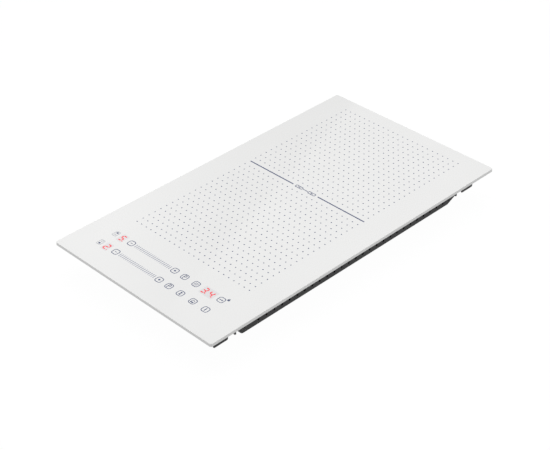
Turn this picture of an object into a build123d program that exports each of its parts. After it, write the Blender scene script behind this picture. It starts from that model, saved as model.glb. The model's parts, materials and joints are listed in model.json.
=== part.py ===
from build123d import *
from math import atan2, cos, degrees, floor, radians, sin, tan
import os

# A narrow built-in induction cooktop with two coils, made of separate pieces, in millimetres.
# The origin is the centre of the glass's cooking surface. +X is the user's right, +Y is away
# from the user, and +Z is up, so every piece lies below Z = 0.

# ---------------------------------------------------------------- driving dimensions

# Glass panel
PANEL_W = 288.0
PANEL_D = 520.0
PANEL_T = 4.5
PANEL_CORNER_R = 3.0
EDGE_GRIND = 0.25

# Foam seal that rests on the worktop
GASKET_SETBACK = 3.0
GASKET_W = 9.0
GASKET_T = 2.0

# Carrier frame: sheet steel glued under the glass
SHEET_T = 1.0
BODY_INSET = 18.0
BOND_T = 0.8
BOND_W = 8.0
BOND_SETBACK = 2.0
FLANGE_W = 12.0
FRAME_WALL_H = 9.2
FRAME_CORNER_R = 1.5
SKIRT_L = 25.0
SKIRT_DROP = 12.5
SKIRT_NOSE_R = 2.0
HOOK_W = 3.4
HOOK_DROP = 12.3
HOOK_SETBACK = 36.5
HOOK_SLANT = 1.5

# Base tray: pressed sheet steel in three depths, shallow ends, middle tier and well
TRAY_LAP = 7.0
END_STEP = 7.0
TRAY_CORNER_R = 1.5
MID_STEP = 11.0
MID_FRONT = 42.1
MID_FRONT_RUN = 4.9
MID_BACK = 25.5
MID_BACK_RUN = 24.0
MID_CORNER_R = 2.5
WELL_STEP = 22.5
WELL_SIDE = 22.0
WELL_FRONT = 28.0
WELL_BACK = 67.5
WELL_CORNER_R = 14.0
WELL_EDGE_R = 4.0
WELL_DRAFT = 12.0

# Vent slots along both long sides of the tray
SLOT_W = 3.0
SLOT_H = 11.0
SLOT_PITCH = 13.25
SLOT_ABOVE_FLOOR = 4.6
SLOT_ROW_FRONT = 33.1
SLOT_ROW_BACK = 22.0

# Screws
SCREW_R = 1.5
SCREW_HEAD_R = 2.8
SCREW_HEAD_H = 1.8
SCREW_CLEARANCE = 0.1
SIDE_SCREW_L = 6.0
SIDE_SCREW_SETBACK = 72.0
CLAMP_HOLE_R = 1.75
CLAMP_HOLE_SIDE = 11.0
CLAMP_HOLE_PITCH = 300.0

# Coil units
COIL_W = 184.0
COIL_CORNER_R = 50.0
COIL_FRONT_GAP = 40.6
COIL_BETWEEN = 23.0
COIL_REAR_GAP = 13.0
COIL_HOLE = 50.0
COIL_HOLE_R = 20.0
WIRE_T = 3.4
TURNS = 5
TURN_GROOVE_W = 1.0
TURN_GROOVE_T = 1.2
MAT_T = 2.0
MAT_MARGIN = 3.0
COIL_GAP = 0.6
FORMER_T = 2.0
FORMER_WALL = 1.6
FORMER_HUB_R = 16.0
FORMER_GAP = 0.2
FERRITE_COUNT = 8
FERRITE_ROOT = 28.0
FERRITE_MARGIN = 8.0
FERRITE_W = 12.0
FERRITE_T = 5.0
SENSOR_R = 5.0
SENSOR_TIP_R = 2.5
SENSOR_HOLE_CLEARANCE = 1.5

# Coil plate and the rubber buffers under it
PLATE_T = 1.2
PLATE_SIDE_GAP = 4.0
PLATE_FRONT_MARGIN = 10.0
PLATE_BACK_GAP = 4.0
BUFFER_R = 4.0
BUFFER_INSET = 8.0
BUFFER_SETBACK = 31.5
BUFFER_PIN_R = 1.8
BUFFER_PIN_H = 1.5
BUFFER_FIT = 0.2

# Coil leads
LEAD_R = 1.5
LEAD_PITCH = 8.0
LEAD_COUNT = 4
LEAD_INSET = 6.0
LEAD_BEND_R = 5.0
LEAD_SLOT_MARGIN = 2.5
TERMINAL_R = 3.0
TERMINAL_H = 10.0

# Power board
BOARD_T = 1.6
BOARD_GAP = 3.0
STANDOFF_H = 5.0
STANDOFF_R = 3.2
FILM_T = 0.4
BOARD_SCREW_INSET = 5.0
TOP_CLEARANCE = 4.8

# Heatsink, transistors and rectifier
CHIP_T = 5.0
CHIP_W = 16.0
CHIP_D = 21.0
CHIP_PITCH = 24.0
RECTIFIER_W = 30.0
RECTIFIER_D = 20.0
SINK_W = 44.0
SINK_FRONT_GAP = 40.7
SINK_BASE_T = 4.0
SINK_LEG_W = 3.0
FIN_T = 1.6
FIN_COUNT = 9
DUCT_T = 1.5
DUCT_SIDE_GAP = 1.5
DUCT_OVERHANG = 6.0

# Other parts on the power board
PART_GAP = 5.0
RESONANT_W = 26.0
RESONANT_D = 15.0
RESONANT_H = 20.0
RESONANT_PITCH = 19.0
RESONANT_COUNT = 4
PARTS_FRONT = 20.0
BUS_W = 31.0
BUS_D = 15.0
BUS_H = 19.0
BUS_PITCH = 20.0
BUS_COUNT = 2
CHOKE_R = 14.5
CHOKE_HOLE_R = 6.0
CHOKE_H = 14.0
CHOKE_ROUND = 3.0
MAINS_CHOKE_R = 12.0
MAINS_CHOKE_HOLE_R = 4.5
SUPPLY_W = 17.0
SUPPLY_D = 24.0
SUPPLY_H = 17.0
SUPPLY_CORE_T = 6.0
SUPPLY_CORE_LIP = 2.5
SMOOTHING_R = 5.0
SMOOTHING_H = 18.0
SMOOTHING_PITCH = 13.0
SMOOTHING_COUNT = 3
FUSE_R = 3.0
FUSE_L = 20.0
FUSE_CAP_L = 5.0
FUSE_CAP_WALL = 0.4
FUSE_PLUG_GAP = 3.0
VARISTOR_R = 6.5
VARISTOR_T = 4.5
BUZZER_R = 6.0
BUZZER_H = 8.0
SOCKET_D = 7.0
SOCKET_H = 8.0
PLUG_D = 9.0
PLUG_H = 10.0

# Blower
IMPELLER_R = 33.0
BLADE_COUNT = 26
BLADE_INSET = 0.6
BLADE_CHORD = 6.4
BLADE_T = 1.1
INLET_LAP = 1.0
BLADE_SWEEP = 9.0
RIM_T = 1.5
RUNNING_GAP = 1.5
ROTOR_TOP_GAP = 3.0
CUP_R = 15.5
CUP_WALL = 1.5
CUP_DEPTH = 14.0
HUB_R = 3.5
HUB_H = 2.0
SHAFT_R = 1.5
BEARING_CLEARANCE = 0.05
BUSH_WALL = 1.5
TUBE_WALL = 1.4
STATOR_R = 12.2
STATOR_H = 9.0
SCROLL_START_GAP = 3.0
SCROLL_GROWTH = 10.0
SCROLL_WALL = 1.5
SCROLL_START = -60.0
SCROLL_TURN = 240.0
SCROLL_FIT = 1.5
WIRE_ROOM = 7.2
EAR_R = 4.5
EAR_LAP = 0.9
EAR_T = 3.0
EAR_TURNS = (-40.0, 60.0, 150.0)
GRILLE_RINGS = 5
GRILLE_SLOT_W = 3.6
GRILLE_BAR_W = 1.9
GRILLE_SPOKES = 3
GRILLE_EYE_R = 3.6
GRILLE_SPOKE_W = 2.6

# Touch controls, named from the printed symbols above them
TOUCH_ROW_FRONT = 39.6
TOUCH_ROW_PITCH = 25.4
TOUCH_BOARD_D = 50.0
TOUCH_MARGIN = 4.0
PAD_H = 5.0
PAD_R = 4.0
PAN_BUTTON_X = 69.9
BUTTON_X = (-72.6, 9.3, 27.4, 47.8, PAN_BUTTON_X, 92.0)
TIMER_X = 71.2
DIGIT_X = -88.8
SLIDER_FIRST_X = -59.0
SLIDER_PITCH = 11.0
SLIDER_COUNT = 6
SLIDER_PAD = 8.0
DIGIT_W = 12.6
DIGIT_D = 17.0
TIMER_W = 24.0
DISPLAY_GAP = 0.3
CARRIER_T = 1.6
CARRIER_DEPTH = 5.4
RIBBON_DROP = 1.8
CARRIER_FIT = 0.5
CARRIER_POST_R = 3.0
RIBBON_W = 20.0
RIBBON_T = 1.0
RIBBON_X = -20.0

# Mains terminal box
TBOX_W = 62.0
TBOX_SIDE = 64.0
TBOX_WELL_GAP = 5.0
TBOX_BACK_GAP = 10.5
TBOX_WALL = 1.6
TBOX_DROP = 17.0
TBOX_RIM = 4.0
TBOX_FIT = 0.4
TBOX_CEILING_GAP = 1.8
LID_T = 2.0
HINGE_R = 1.5
KNUCKLE_WALL = 1.1
HINGE_STANDOFF = 3.2
HINGE_RISE = 1.5
LUG_T = 5.0
LUG_INSET = 8.0
LUG_GAP = 0.4
BLOCK_W = 44.0
BLOCK_D = 16.0
BLOCK_H = 12.0
POLES = 5
POLE_SCREW_R = 2.2
POLE_GAP = 0.4
TONGUE_W = 8.0
TONGUE_T = 1.2
TONGUE_H = 3.0
GROMMET_BORE_R = 4.5
GROMMET_WALL = 1.1
GROMMET_FLANGE = 1.4
GROMMET_FLANGE_T = 2.0
MAINS_LEAD_R = 1.4
MAINS_LEAD_PITCH = 8.0
MAINS_LEAD_COUNT = 3
MAINS_BEND_R = 8.0
MAINS_DROP = 4.0

# ---------------------------------------------------------------- levels and places

glass_low = -PANEL_T
frame_top = glass_low - BOND_T
flange_low = frame_top - SHEET_T
frame_low = flange_low - FRAME_WALL_H
tray_top = frame_low + TRAY_LAP
end_floor = frame_low - END_STEP
mid_floor = end_floor - MID_STEP
well_floor = mid_floor - WELL_STEP
end_inside = end_floor + SHEET_T
mid_inside = mid_floor + SHEET_T
well_inside = well_floor + SHEET_T

body_w = PANEL_W - 2 * BODY_INSET
body_d = PANEL_D - 2 * BODY_INSET
tray_w = body_w - 2 * SHEET_T
tray_d = body_d - 2 * SHEET_T
side_in = tray_w / 2 - SHEET_T
tray_front = -tray_d / 2
tray_back = tray_d / 2

# Middle tier, at its top and at its floor
mid_front_top = tray_front + MID_FRONT
mid_front_low = mid_front_top + MID_FRONT_RUN
mid_back_top = tray_back - MID_BACK
mid_back_low = mid_back_top - MID_BACK_RUN

# Well, at its top and at its flat inside floor
well_w = tray_w - 2 * WELL_SIDE
well_front = mid_front_low + WELL_FRONT
well_back = mid_back_low - WELL_BACK
draft_run = WELL_STEP * tan(radians(WELL_DRAFT))
floor_margin = draft_run + SHEET_T + WELL_EDGE_R
floor_half_w = well_w / 2 - floor_margin
floor_front = well_front + floor_margin
floor_back = well_back - floor_margin

# Touch controls, on a board that reaches past the outermost display and button
touch_rows = [-PANEL_D / 2 + TOUCH_ROW_FRONT, -PANEL_D / 2 + TOUCH_ROW_FRONT + TOUCH_ROW_PITCH]
touch_y = sum(touch_rows) / 2
touch_left = DIGIT_X - DIGIT_W / 2 - TOUCH_MARGIN
touch_right = max(BUTTON_X) + PAD_R + TOUCH_MARGIN
touch_board_w = touch_right - touch_left
touch_x = (touch_left + touch_right) / 2
touch_top = glass_low - PAD_H
touch_low = touch_top - BOARD_T
carrier_low = touch_low - CARRIER_DEPTH
carrier_wall_w = touch_board_w + 2 * (CARRIER_FIT + CARRIER_T)
carrier_wall_d = TOUCH_BOARD_D + 2 * (CARRIER_FIT + CARRIER_T)
carrier_back = touch_y + carrier_wall_d / 2

# Coil stack, from the glass down, with two coils between the touch controls and the tray's back
mat_low = glass_low - MAT_T
wire_top = mat_low - COIL_GAP
wire_low = wire_top - WIRE_T
former_low = wire_low - FORMER_T
plate_top = former_low - FERRITE_T
plate_low = plate_top - PLATE_T
coils_front = carrier_back + COIL_FRONT_GAP
coils_back = tray_back - SHEET_T - COIL_REAR_GAP
coil_d = (coils_back - coils_front - COIL_BETWEEN) / 2
coil_front_y = coils_front + coil_d / 2
coil_rear_y = coils_back - coil_d / 2
coil_rows = {"front": coil_front_y, "rear": coil_rear_y}
ferrite_l = min(COIL_W, coil_d) / 2 - FERRITE_MARGIN - FERRITE_ROOT
ferrite_mid_r = FERRITE_ROOT + ferrite_l / 2
plate_front = coils_front - PLATE_FRONT_MARGIN
plate_back = tray_back - SHEET_T - PLATE_BACK_GAP
plate_w = 2 * (side_in - PLATE_SIDE_GAP)
lead_y = (coil_front_y + coil_rear_y) / 2

# Blower, in the well's rear left corner
board_low = well_inside + STANDOFF_H
board_top = board_low + BOARD_T
scroll_top = plate_low - WIRE_ROOM
cover_low = scroll_top - SCROLL_WALL
scroll_r0 = IMPELLER_R + SCROLL_START_GAP
scroll_left_r = scroll_r0 + SCROLL_GROWTH
scroll_back_r = scroll_r0 + SCROLL_GROWTH * (90 - SCROLL_START) / SCROLL_TURN
scroll_right_r = scroll_r0 + SCROLL_GROWTH * (0 - SCROLL_START) / SCROLL_TURN
blower_x = -floor_half_w + scroll_left_r + SCROLL_WALL + SCROLL_FIT
blower_y = floor_back - scroll_back_r - SCROLL_WALL - SCROLL_FIT
outlet_y = blower_y - scroll_left_r - SCROLL_WALL
blade_low = well_inside + SCROLL_WALL + RUNNING_GAP
disc_top = cover_low - ROTOR_TOP_GAP
disc_low = disc_top - RIM_T
cup_floor = disc_top - CUP_DEPTH
tube_low = cup_floor + CUP_WALL + HUB_H + RUNNING_GAP / 2
blade_tip_r = IMPELLER_R - BLADE_INSET
blade_root_r = blade_tip_r - BLADE_CHORD
inlet_r = blade_root_r - INLET_LAP
grille_reach = 2 * (GRILLE_EYE_R + GRILLE_RINGS * (GRILLE_SLOT_W + GRILLE_BAR_W))

# Power board: full width in front, and a tongue to the right of the blower
board_half_w = floor_half_w - BOARD_GAP
board_front = floor_front + BOARD_GAP
board_back = floor_back - BOARD_GAP
board_notch_y = outlet_y - BOARD_GAP / 2
board_tongue_x = blower_x + scroll_right_r + SCROLL_WALL + 2 * EAR_R + BOARD_GAP
part_top = plate_low - TOP_CLEARANCE
lead_rows = [board_tongue_x + LEAD_INSET + n * LEAD_PITCH for n in range(LEAD_COUNT)]
lead_mid_x = sum(lead_rows) / LEAD_COUNT
lead_span = lead_rows[-1] - lead_rows[0] + 2 * LEAD_R + 2 * LEAD_SLOT_MARGIN

# Heatsink and duct, in line with the blower's outlet
sink_x = blower_x - scroll_left_r + DUCT_T + DUCT_SIDE_GAP + SINK_W / 2
sink_back = board_notch_y - DUCT_OVERHANG
sink_front = board_front + SINK_FRONT_GAP
sink_l = sink_back - sink_front
duct_w = SINK_W + 2 * DUCT_SIDE_GAP + 2 * DUCT_T
fin_top = part_top - DUCT_T - DUCT_SIDE_GAP

# Terminal box, behind the well
tbox_x = tray_w / 2 - TBOX_SIDE
tbox_front = well_back + TBOX_WELL_GAP
tbox_back = mid_back_low - TBOX_BACK_GAP
tbox_d = tbox_back - tbox_front
tbox_y = (tbox_front + tbox_back) / 2
tbox_low = mid_floor - TBOX_DROP
tbox_top = plate_low - TBOX_CEILING_GAP
tbox_ceiling = tbox_top - TBOX_WALL
hinge_y = tbox_front - HINGE_STANDOFF
hinge_z = tbox_low + HINGE_RISE
knuckle_r = HINGE_R + KNUCKLE_WALL
grommet_z = (tbox_low + mid_floor - TBOX_WALL) / 2
block_front = tbox_y - BLOCK_D / 2
mains_rows = [tbox_x + (n - (MAINS_LEAD_COUNT - 1) / 2) * MAINS_LEAD_PITCH for n in range(MAINS_LEAD_COUNT)]
mains_z = tbox_ceiling - MAINS_DROP
mains_plug_y = board_back - 2 * MAINS_LEAD_R - BOARD_GAP

LOW = (Align.CENTER, Align.CENTER, Align.MIN)
HIGH = (Align.CENTER, Align.CENTER, Align.MAX)


# ---------------------------------------------------------------- helpers


def slab(width, depth, low, high, corner, centre=(0, 0)):
    """A flat block between two levels, with rounded upright corners."""
    with BuildPart() as block:
        with BuildSketch(Plane.XY.offset(low)):
            with Locations(centre):
                RectangleRounded(width, depth, corner)
        extrude(amount=high - low)
    return block.part


def screws(seats, length, head_h=SCREW_HEAD_H):
    """Pan-head screws, each with its head standing on a seat plane."""
    with BuildPart() as group:
        with Locations(*seats):
            Cylinder(SCREW_R, length, align=HIGH)
            Cylinder(SCREW_HEAD_R, head_h, align=LOW)
    return group


def columns(places, radius, low, high):
    """Upright round columns of one size."""
    with BuildPart() as group:
        with Locations(*[(x, y, low) for x, y in places]):
            Cylinder(radius, high - low, align=LOW)
    return group


def bricks(places, width, depth, low, high):
    """Upright rectangular blocks of one size."""
    with BuildPart() as group:
        with Locations(*[(x, y, low) for x, y in places]):
            Box(width, depth, high - low, align=LOW)
    return group


def scroll_radius(turn):
    """The scroll's inside radius, which grows evenly round to the outlet."""
    return scroll_r0 + SCROLL_GROWTH * (turn - SCROLL_START) / SCROLL_TURN


def ear_reach(turn):
    """How far a screw ear's centre lies from the blower's axis."""
    return scroll_radius(turn) + SCROLL_WALL + EAR_R - EAR_LAP


def setback(skin, run, drop):
    """How far an inner slope's ends lie inside the outer slope's, for a wall of this skin."""
    return skin * tan(atan2(drop, run) / 2)


def tray_form(skin, top):
    """The tray's solid form, drawn in by a skin on every side, up to a top level."""
    front_in = setback(skin, MID_FRONT_RUN, MID_STEP)
    back_in = setback(skin, MID_BACK_RUN, MID_STEP)
    with BuildPart() as form:
        add(slab(tray_w - 2 * skin, tray_d - 2 * skin, end_floor + skin, top, TRAY_CORNER_R - skin / 2))
        ends = ((end_floor, mid_front_top, mid_back_top), (mid_floor, mid_front_low, mid_back_low))
        for level, front, back in ends:
            with BuildSketch(Plane.XY.offset(level + skin)):
                with Locations((0, (front + front_in + back - back_in) / 2)):
                    width = tray_w - 2 * skin
                    RectangleRounded(width, back - back_in - front - front_in, MID_CORNER_R - skin)
        loft(ruled=True)
        with BuildSketch(Plane((0, 0, mid_floor + skin), x_dir=(1, 0, 0), z_dir=(0, 0, -1))):
            with Locations((0, -(well_front + well_back) / 2)):
                side = skin * (1 - sin(radians(WELL_DRAFT))) / cos(radians(WELL_DRAFT))
                depth = well_back - well_front
                RectangleRounded(well_w - 2 * side, depth - 2 * side, WELL_CORNER_R - side)
        extrude(amount=WELL_STEP, taper=WELL_DRAFT)
        rim = form.faces().sort_by(Axis.Z)[0].edges()
        fillet(rim, WELL_EDGE_R - skin)
    return form.part


# ---------------------------------------------------------------- glass, seal and frame

with BuildPart() as glass_panel:
    add(slab(PANEL_W, PANEL_D, glass_low, 0, PANEL_CORNER_R))
    arrises = glass_panel.faces().sort_by(Axis.Z)[0].edges() + glass_panel.faces().sort_by(Axis.Z)[-1].edges()
    chamfer(arrises, EDGE_GRIND)
glass_panel.part.label = "glass_panel"

with BuildPart() as rim_gasket:
    outer_w = PANEL_W - 2 * GASKET_SETBACK
    outer_d = PANEL_D - 2 * GASKET_SETBACK
    with BuildSketch(Plane.XY.offset(glass_low)):
        RectangleRounded(outer_w, outer_d, PANEL_CORNER_R)
        RectangleRounded(outer_w - 2 * GASKET_W, outer_d - 2 * GASKET_W, PANEL_CORNER_R, mode=Mode.SUBTRACT)
    extrude(amount=-GASKET_T)
rim_gasket.part.label = "rim_gasket"

with BuildPart() as silicone_bond:
    outer_w = body_w - 2 * BOND_SETBACK
    outer_d = body_d - 2 * BOND_SETBACK
    with BuildSketch(Plane.XY.offset(glass_low)):
        RectangleRounded(outer_w, outer_d, FRAME_CORNER_R)
        RectangleRounded(outer_w - 2 * BOND_W, outer_d - 2 * BOND_W, FRAME_CORNER_R, mode=Mode.SUBTRACT)
    extrude(amount=-BOND_T)
silicone_bond.part.label = "silicone_bond"

# Seats of the side screws, on the frame's outer walls
side_screw_z = (frame_low + tray_top) / 2
side_screw_rows = (-body_d / 2 + SIDE_SCREW_SETBACK, 0, body_d / 2 - SIDE_SCREW_SETBACK)
side_seats = [
    Plane((side * body_w / 2, y, side_screw_z), x_dir=(0, 1, 0), z_dir=(side, 0, 0))
    for side in (-1, 1)
    for y in side_screw_rows
]
end_seats = [
    Plane((0, side * body_d / 2, side_screw_z), x_dir=(1, 0, 0), z_dir=(0, side, 0)) for side in (-1, 1)
]
frame_seats = side_seats + end_seats

with BuildPart() as carrier_frame:
    add(slab(body_w, body_d, frame_low, frame_top, FRAME_CORNER_R))
    wall_bend_r = FRAME_CORNER_R - SHEET_T
    cavity = slab(tray_w, tray_d, frame_low, flange_low, wall_bend_r)
    add(cavity, mode=Mode.SUBTRACT)
    window_w = body_w - 2 * FLANGE_W
    window_d = body_d - 2 * FLANGE_W
    add(slab(window_w, window_d, flange_low, frame_top, FLANGE_W / 2), mode=Mode.SUBTRACT)
    # Skirts at the corners and hook tabs beside them hang from both long walls
    for side in (-1, 1):
        with BuildSketch(Plane((side * body_w / 2, 0, 0), x_dir=(0, side, 0), z_dir=(side, 0, 0))):
            for end in (-1, 1):
                skirt_y = end * (body_d / 2 - FRAME_CORNER_R - (SKIRT_L - FRAME_CORNER_R) / 2)
                skirt_z = frame_low - SKIRT_DROP / 2
                with Locations((skirt_y, skirt_z)):
                    Rectangle(SKIRT_L - FRAME_CORNER_R, SKIRT_DROP)
                hook_y = end * (body_d / 2 - HOOK_SETBACK)
                with BuildLine():
                    Polyline(
                        (hook_y - HOOK_W / 2, frame_low),
                        (hook_y + HOOK_W / 2, frame_low),
                        (hook_y + HOOK_W / 2, frame_low - HOOK_DROP),
                        (hook_y - HOOK_W / 2 + HOOK_SLANT, frame_low - HOOK_DROP),
                        (hook_y - HOOK_W / 2, frame_low - HOOK_DROP + HOOK_SLANT),
                        close=True,
                    )
                make_face()
        extrude(amount=-SHEET_T)
    skirt_tips = [
        edge
        for edge in carrier_frame.edges().filter_by(Axis.X)
        if abs(edge.center().Z - (frame_low - SKIRT_DROP)) < SHEET_T / 10
    ]
    fillet(skirt_tips, SKIRT_NOSE_R)
    with Locations(*frame_seats):
        Cylinder(SCREW_R + SCREW_CLEARANCE, 4 * SHEET_T, mode=Mode.SUBTRACT)
carrier_frame.part.label = "carrier_frame"

housing_screws = screws(frame_seats, SIDE_SCREW_L)
housing_screws.part.label = "housing_screws"

# ---------------------------------------------------------------- base tray

slot_first = mid_front_top + SLOT_ROW_FRONT
slot_last = mid_back_top - SLOT_ROW_BACK
slot_count = floor((slot_last - slot_first) / SLOT_PITCH) + 1
slot_z = mid_floor + SLOT_ABOVE_FLOOR + SLOT_H / 2
clamp_holes = [
    (side * (tray_w / 2 - CLAMP_HOLE_SIDE), end * CLAMP_HOLE_PITCH / 2) for side in (-1, 1) for end in (-1, 1)
]
buffer_x = (side_in + well_w / 2) / 2
buffer_ends = (plate_front + BUFFER_INSET, mid_back_low - BUFFER_SETBACK)
buffer_places = [(side * buffer_x, y) for side in (-1, 1) for y in (*buffer_ends, sum(buffer_ends) / 2)]
ear_places = [
    (blower_x + ear_reach(turn) * cos(radians(turn)), blower_y + ear_reach(turn) * sin(radians(turn)))
    for turn in EAR_TURNS
]
board_screw_places = [
    (-board_half_w + BOARD_SCREW_INSET, board_front + BOARD_SCREW_INSET),
    (board_half_w - BOARD_SCREW_INSET, board_front + BOARD_SCREW_INSET),
    (sink_x + duct_w / 2 + BOARD_SCREW_INSET, board_notch_y - BOARD_SCREW_INSET),
    (board_half_w - BOARD_SCREW_INSET, board_notch_y - BOARD_SCREW_INSET),
    (board_tongue_x + BOARD_SCREW_INSET, board_back - BOARD_SCREW_INSET),
    (board_half_w - BOARD_SCREW_INSET, board_back - BOARD_SCREW_INSET),
]

with BuildPart() as base_tray:
    add(tray_form(0, tray_top))
    add(tray_form(SHEET_T, tray_top + SHEET_T), mode=Mode.SUBTRACT)
    with BuildSketch(Plane.YZ):
        with Locations(*[(slot_first + n * SLOT_PITCH, slot_z) for n in range(slot_count)]):
            SlotOverall(SLOT_H, SLOT_W, rotation=90)
    extrude(amount=tray_w, both=True, mode=Mode.SUBTRACT)
    # Air intake: rings of arc slots under the blower, parted by spokes
    with BuildSketch(Plane.XY.offset(well_floor)):
        with Locations((blower_x, blower_y)):
            for ring in reversed(range(GRILLE_RINGS)):
                ring_in = GRILLE_EYE_R + ring * (GRILLE_SLOT_W + GRILLE_BAR_W)
                Circle(ring_in + GRILLE_SLOT_W)
                Circle(ring_in, mode=Mode.SUBTRACT)
            for spoke in range(GRILLE_SPOKES):
                turn = 180 * spoke / GRILLE_SPOKES
                Rectangle(grille_reach, GRILLE_SPOKE_W, rotation=turn, mode=Mode.SUBTRACT)
    extrude(amount=SHEET_T, mode=Mode.SUBTRACT)
    with Locations(*[(x, y, mid_floor) for x, y in clamp_holes]):
        Cylinder(CLAMP_HOLE_R, SHEET_T, align=LOW, mode=Mode.SUBTRACT)
    with Locations(*[(x, y, well_floor) for x, y in ear_places]):
        Cylinder(SCREW_R + SCREW_CLEARANCE, SHEET_T, align=LOW, mode=Mode.SUBTRACT)
    with Locations((tbox_x, tbox_y, mid_floor)):
        Box(TBOX_W + 2 * TBOX_FIT, tbox_d + 2 * TBOX_FIT, SHEET_T, align=LOW, mode=Mode.SUBTRACT)
    with Locations(*frame_seats):
        Cylinder(SCREW_R + SCREW_CLEARANCE, 6 * SHEET_T, mode=Mode.SUBTRACT)
base_tray.part.label = "base_tray"

# ---------------------------------------------------------------- coil units

lead_places = [(x, lead_y) for x in lead_rows]
former_w = COIL_W + 2 * (FORMER_GAP + FORMER_WALL)
former_d = coil_d + 2 * (FORMER_GAP + FORMER_WALL)
former_r = COIL_CORNER_R + FORMER_GAP + FORMER_WALL
hub_in = FORMER_HUB_R - FORMER_WALL


def insulation_mat(coil_y):
    """A mica and fibre sheet between a winding and the glass, pierced for the sensor."""
    mat_w = COIL_W + 2 * MAT_MARGIN
    mat_d = coil_d + 2 * MAT_MARGIN
    with BuildPart() as mat:
        add(slab(mat_w, mat_d, mat_low, glass_low, COIL_CORNER_R + MAT_MARGIN, (0, coil_y)))
        with Locations((0, coil_y, mat_low)):
            Cylinder(SENSOR_TIP_R + SENSOR_HOLE_CLEARANCE, MAT_T, align=LOW, mode=Mode.SUBTRACT)
    return mat


def winding(coil_y):
    """A flat winding of twisted litz, in bands of turns that follow a rounded square."""
    with BuildPart() as coil:
        with BuildSketch(Plane.XY.offset(wire_low)):
            with Locations((0, coil_y)):
                RectangleRounded(COIL_W, coil_d, COIL_CORNER_R)
                RectangleRounded(COIL_HOLE, COIL_HOLE, COIL_HOLE_R, mode=Mode.SUBTRACT)
        extrude(amount=WIRE_T)
        with BuildSketch(Plane.XY.offset(wire_top)):
            with Locations((0, coil_y)):
                for turn in range(TURNS - 1, 0, -1):
                    share = turn / TURNS
                    width = COIL_HOLE + (COIL_W - COIL_HOLE) * share
                    depth = COIL_HOLE + (coil_d - COIL_HOLE) * share
                    corner = COIL_HOLE_R + (COIL_CORNER_R - COIL_HOLE_R) * share
                    RectangleRounded(width, depth, corner)
                    width -= 2 * TURN_GROOVE_W
                    depth -= 2 * TURN_GROOVE_W
                    RectangleRounded(width, depth, corner - TURN_GROOVE_W, mode=Mode.SUBTRACT)
        extrude(amount=-TURN_GROOVE_T, mode=Mode.SUBTRACT)
    return coil


def coil_former(coil_y, lead_side):
    """The moulded former: a disc with windows, a wall round it, a hub, and a notch for the leads."""
    with BuildPart() as former:
        add(slab(former_w, former_d, plate_top, wire_top, former_r, (0, coil_y)))
        for low, high in ((wire_low, wire_top), (plate_top, former_low)):
            inner_w = former_w - 2 * FORMER_WALL
            inner_d = former_d - 2 * FORMER_WALL
            pocket = slab(inner_w, inner_d, low, high, former_r - FORMER_WALL, (0, coil_y))
            add(pocket, mode=Mode.SUBTRACT)
        with Locations((0, coil_y, plate_top)):
            Cylinder(FORMER_HUB_R, wire_top - plate_top, align=LOW)
            Cylinder(hub_in, wire_top - plate_top, align=LOW, mode=Mode.SUBTRACT)
        with BuildSketch(Plane.XY.offset(former_low)):
            with Locations((0, coil_y)):
                with PolarLocations(ferrite_mid_r, FERRITE_COUNT, start_angle=180 / FERRITE_COUNT):
                    SlotOverall(ferrite_l - FERRITE_W, FERRITE_W / 2)
        extrude(amount=FORMER_T, mode=Mode.SUBTRACT)
        with Locations((lead_mid_x, coil_y + lead_side * former_d / 2, wire_low)):
            Box(lead_span, 4 * FORMER_WALL, WIRE_T, align=LOW, mode=Mode.SUBTRACT)
    return former


def ferrite_bars(coil_y):
    """Ferrite bars laid out like a star under the former."""
    with BuildPart() as bars:
        with Locations((0, coil_y, plate_top)):
            with PolarLocations(ferrite_mid_r, FERRITE_COUNT):
                Box(ferrite_l, FERRITE_W, FERRITE_T, align=LOW)
    return bars


def heat_sensor(coil_y):
    """A sensor in its holder, standing on the coil plate with its tip on the glass."""
    with BuildPart() as sensor:
        with BuildSketch(Plane.XZ.offset(-coil_y)):
            with BuildLine():
                Polyline(
                    (0, plate_top),
                    (SENSOR_R, plate_top),
                    (SENSOR_R, wire_low),
                    (SENSOR_TIP_R, wire_top),
                    (SENSOR_TIP_R, glass_low),
                    (0, glass_low),
                    close=True,
                )
            make_face()
        revolve(axis=Axis((0, coil_y, 0), (0, 0, 1)))
    return sensor


coil_pieces = []
for end, coil_y in coil_rows.items():
    lead_side = 1 if coil_y < lead_y else -1
    unit = {
        f"insulation_mat_{end}": insulation_mat(coil_y),
        f"coil_winding_{end}": winding(coil_y),
        f"coil_former_{end}": coil_former(coil_y, lead_side),
        f"ferrite_bars_{end}": ferrite_bars(coil_y),
        f"heat_sensor_{end}": heat_sensor(coil_y),
    }
    for name, piece in unit.items():
        piece.part.label = name
        coil_pieces.append(piece)

with BuildPart() as coil_plate:
    plate_mid = (plate_front + plate_back) / 2
    add(slab(plate_w, plate_back - plate_front, plate_low, plate_top, FLANGE_W / 2, (0, plate_mid)))
    with Locations(*[(x, y, plate_low) for x, y in buffer_places]):
        Cylinder(BUFFER_PIN_R + BUFFER_FIT, PLATE_T, align=LOW, mode=Mode.SUBTRACT)
    with Locations(*[(hub_in / 2 + SENSOR_R / 2, y, plate_low) for y in coil_rows.values()]):
        Cylinder(LEAD_R, PLATE_T, align=LOW, mode=Mode.SUBTRACT)
    with BuildSketch(Plane.XY.offset(plate_low)):
        with Locations((lead_mid_x, lead_y)):
            SlotOverall(lead_span, 2 * (LEAD_R + LEAD_SLOT_MARGIN))
    extrude(amount=PLATE_T, mode=Mode.SUBTRACT)
coil_plate.part.label = "coil_plate"

with BuildPart() as plate_buffers:
    with Locations(*[(x, y, mid_inside) for x, y in buffer_places]):
        Cylinder(BUFFER_R, plate_low - mid_inside, align=LOW)
    with Locations(*[(x, y, plate_low) for x, y in buffer_places]):
        Cylinder(BUFFER_PIN_R, PLATE_T + BUFFER_PIN_H, align=LOW)
plate_buffers.part.label = "plate_buffers"

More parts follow.
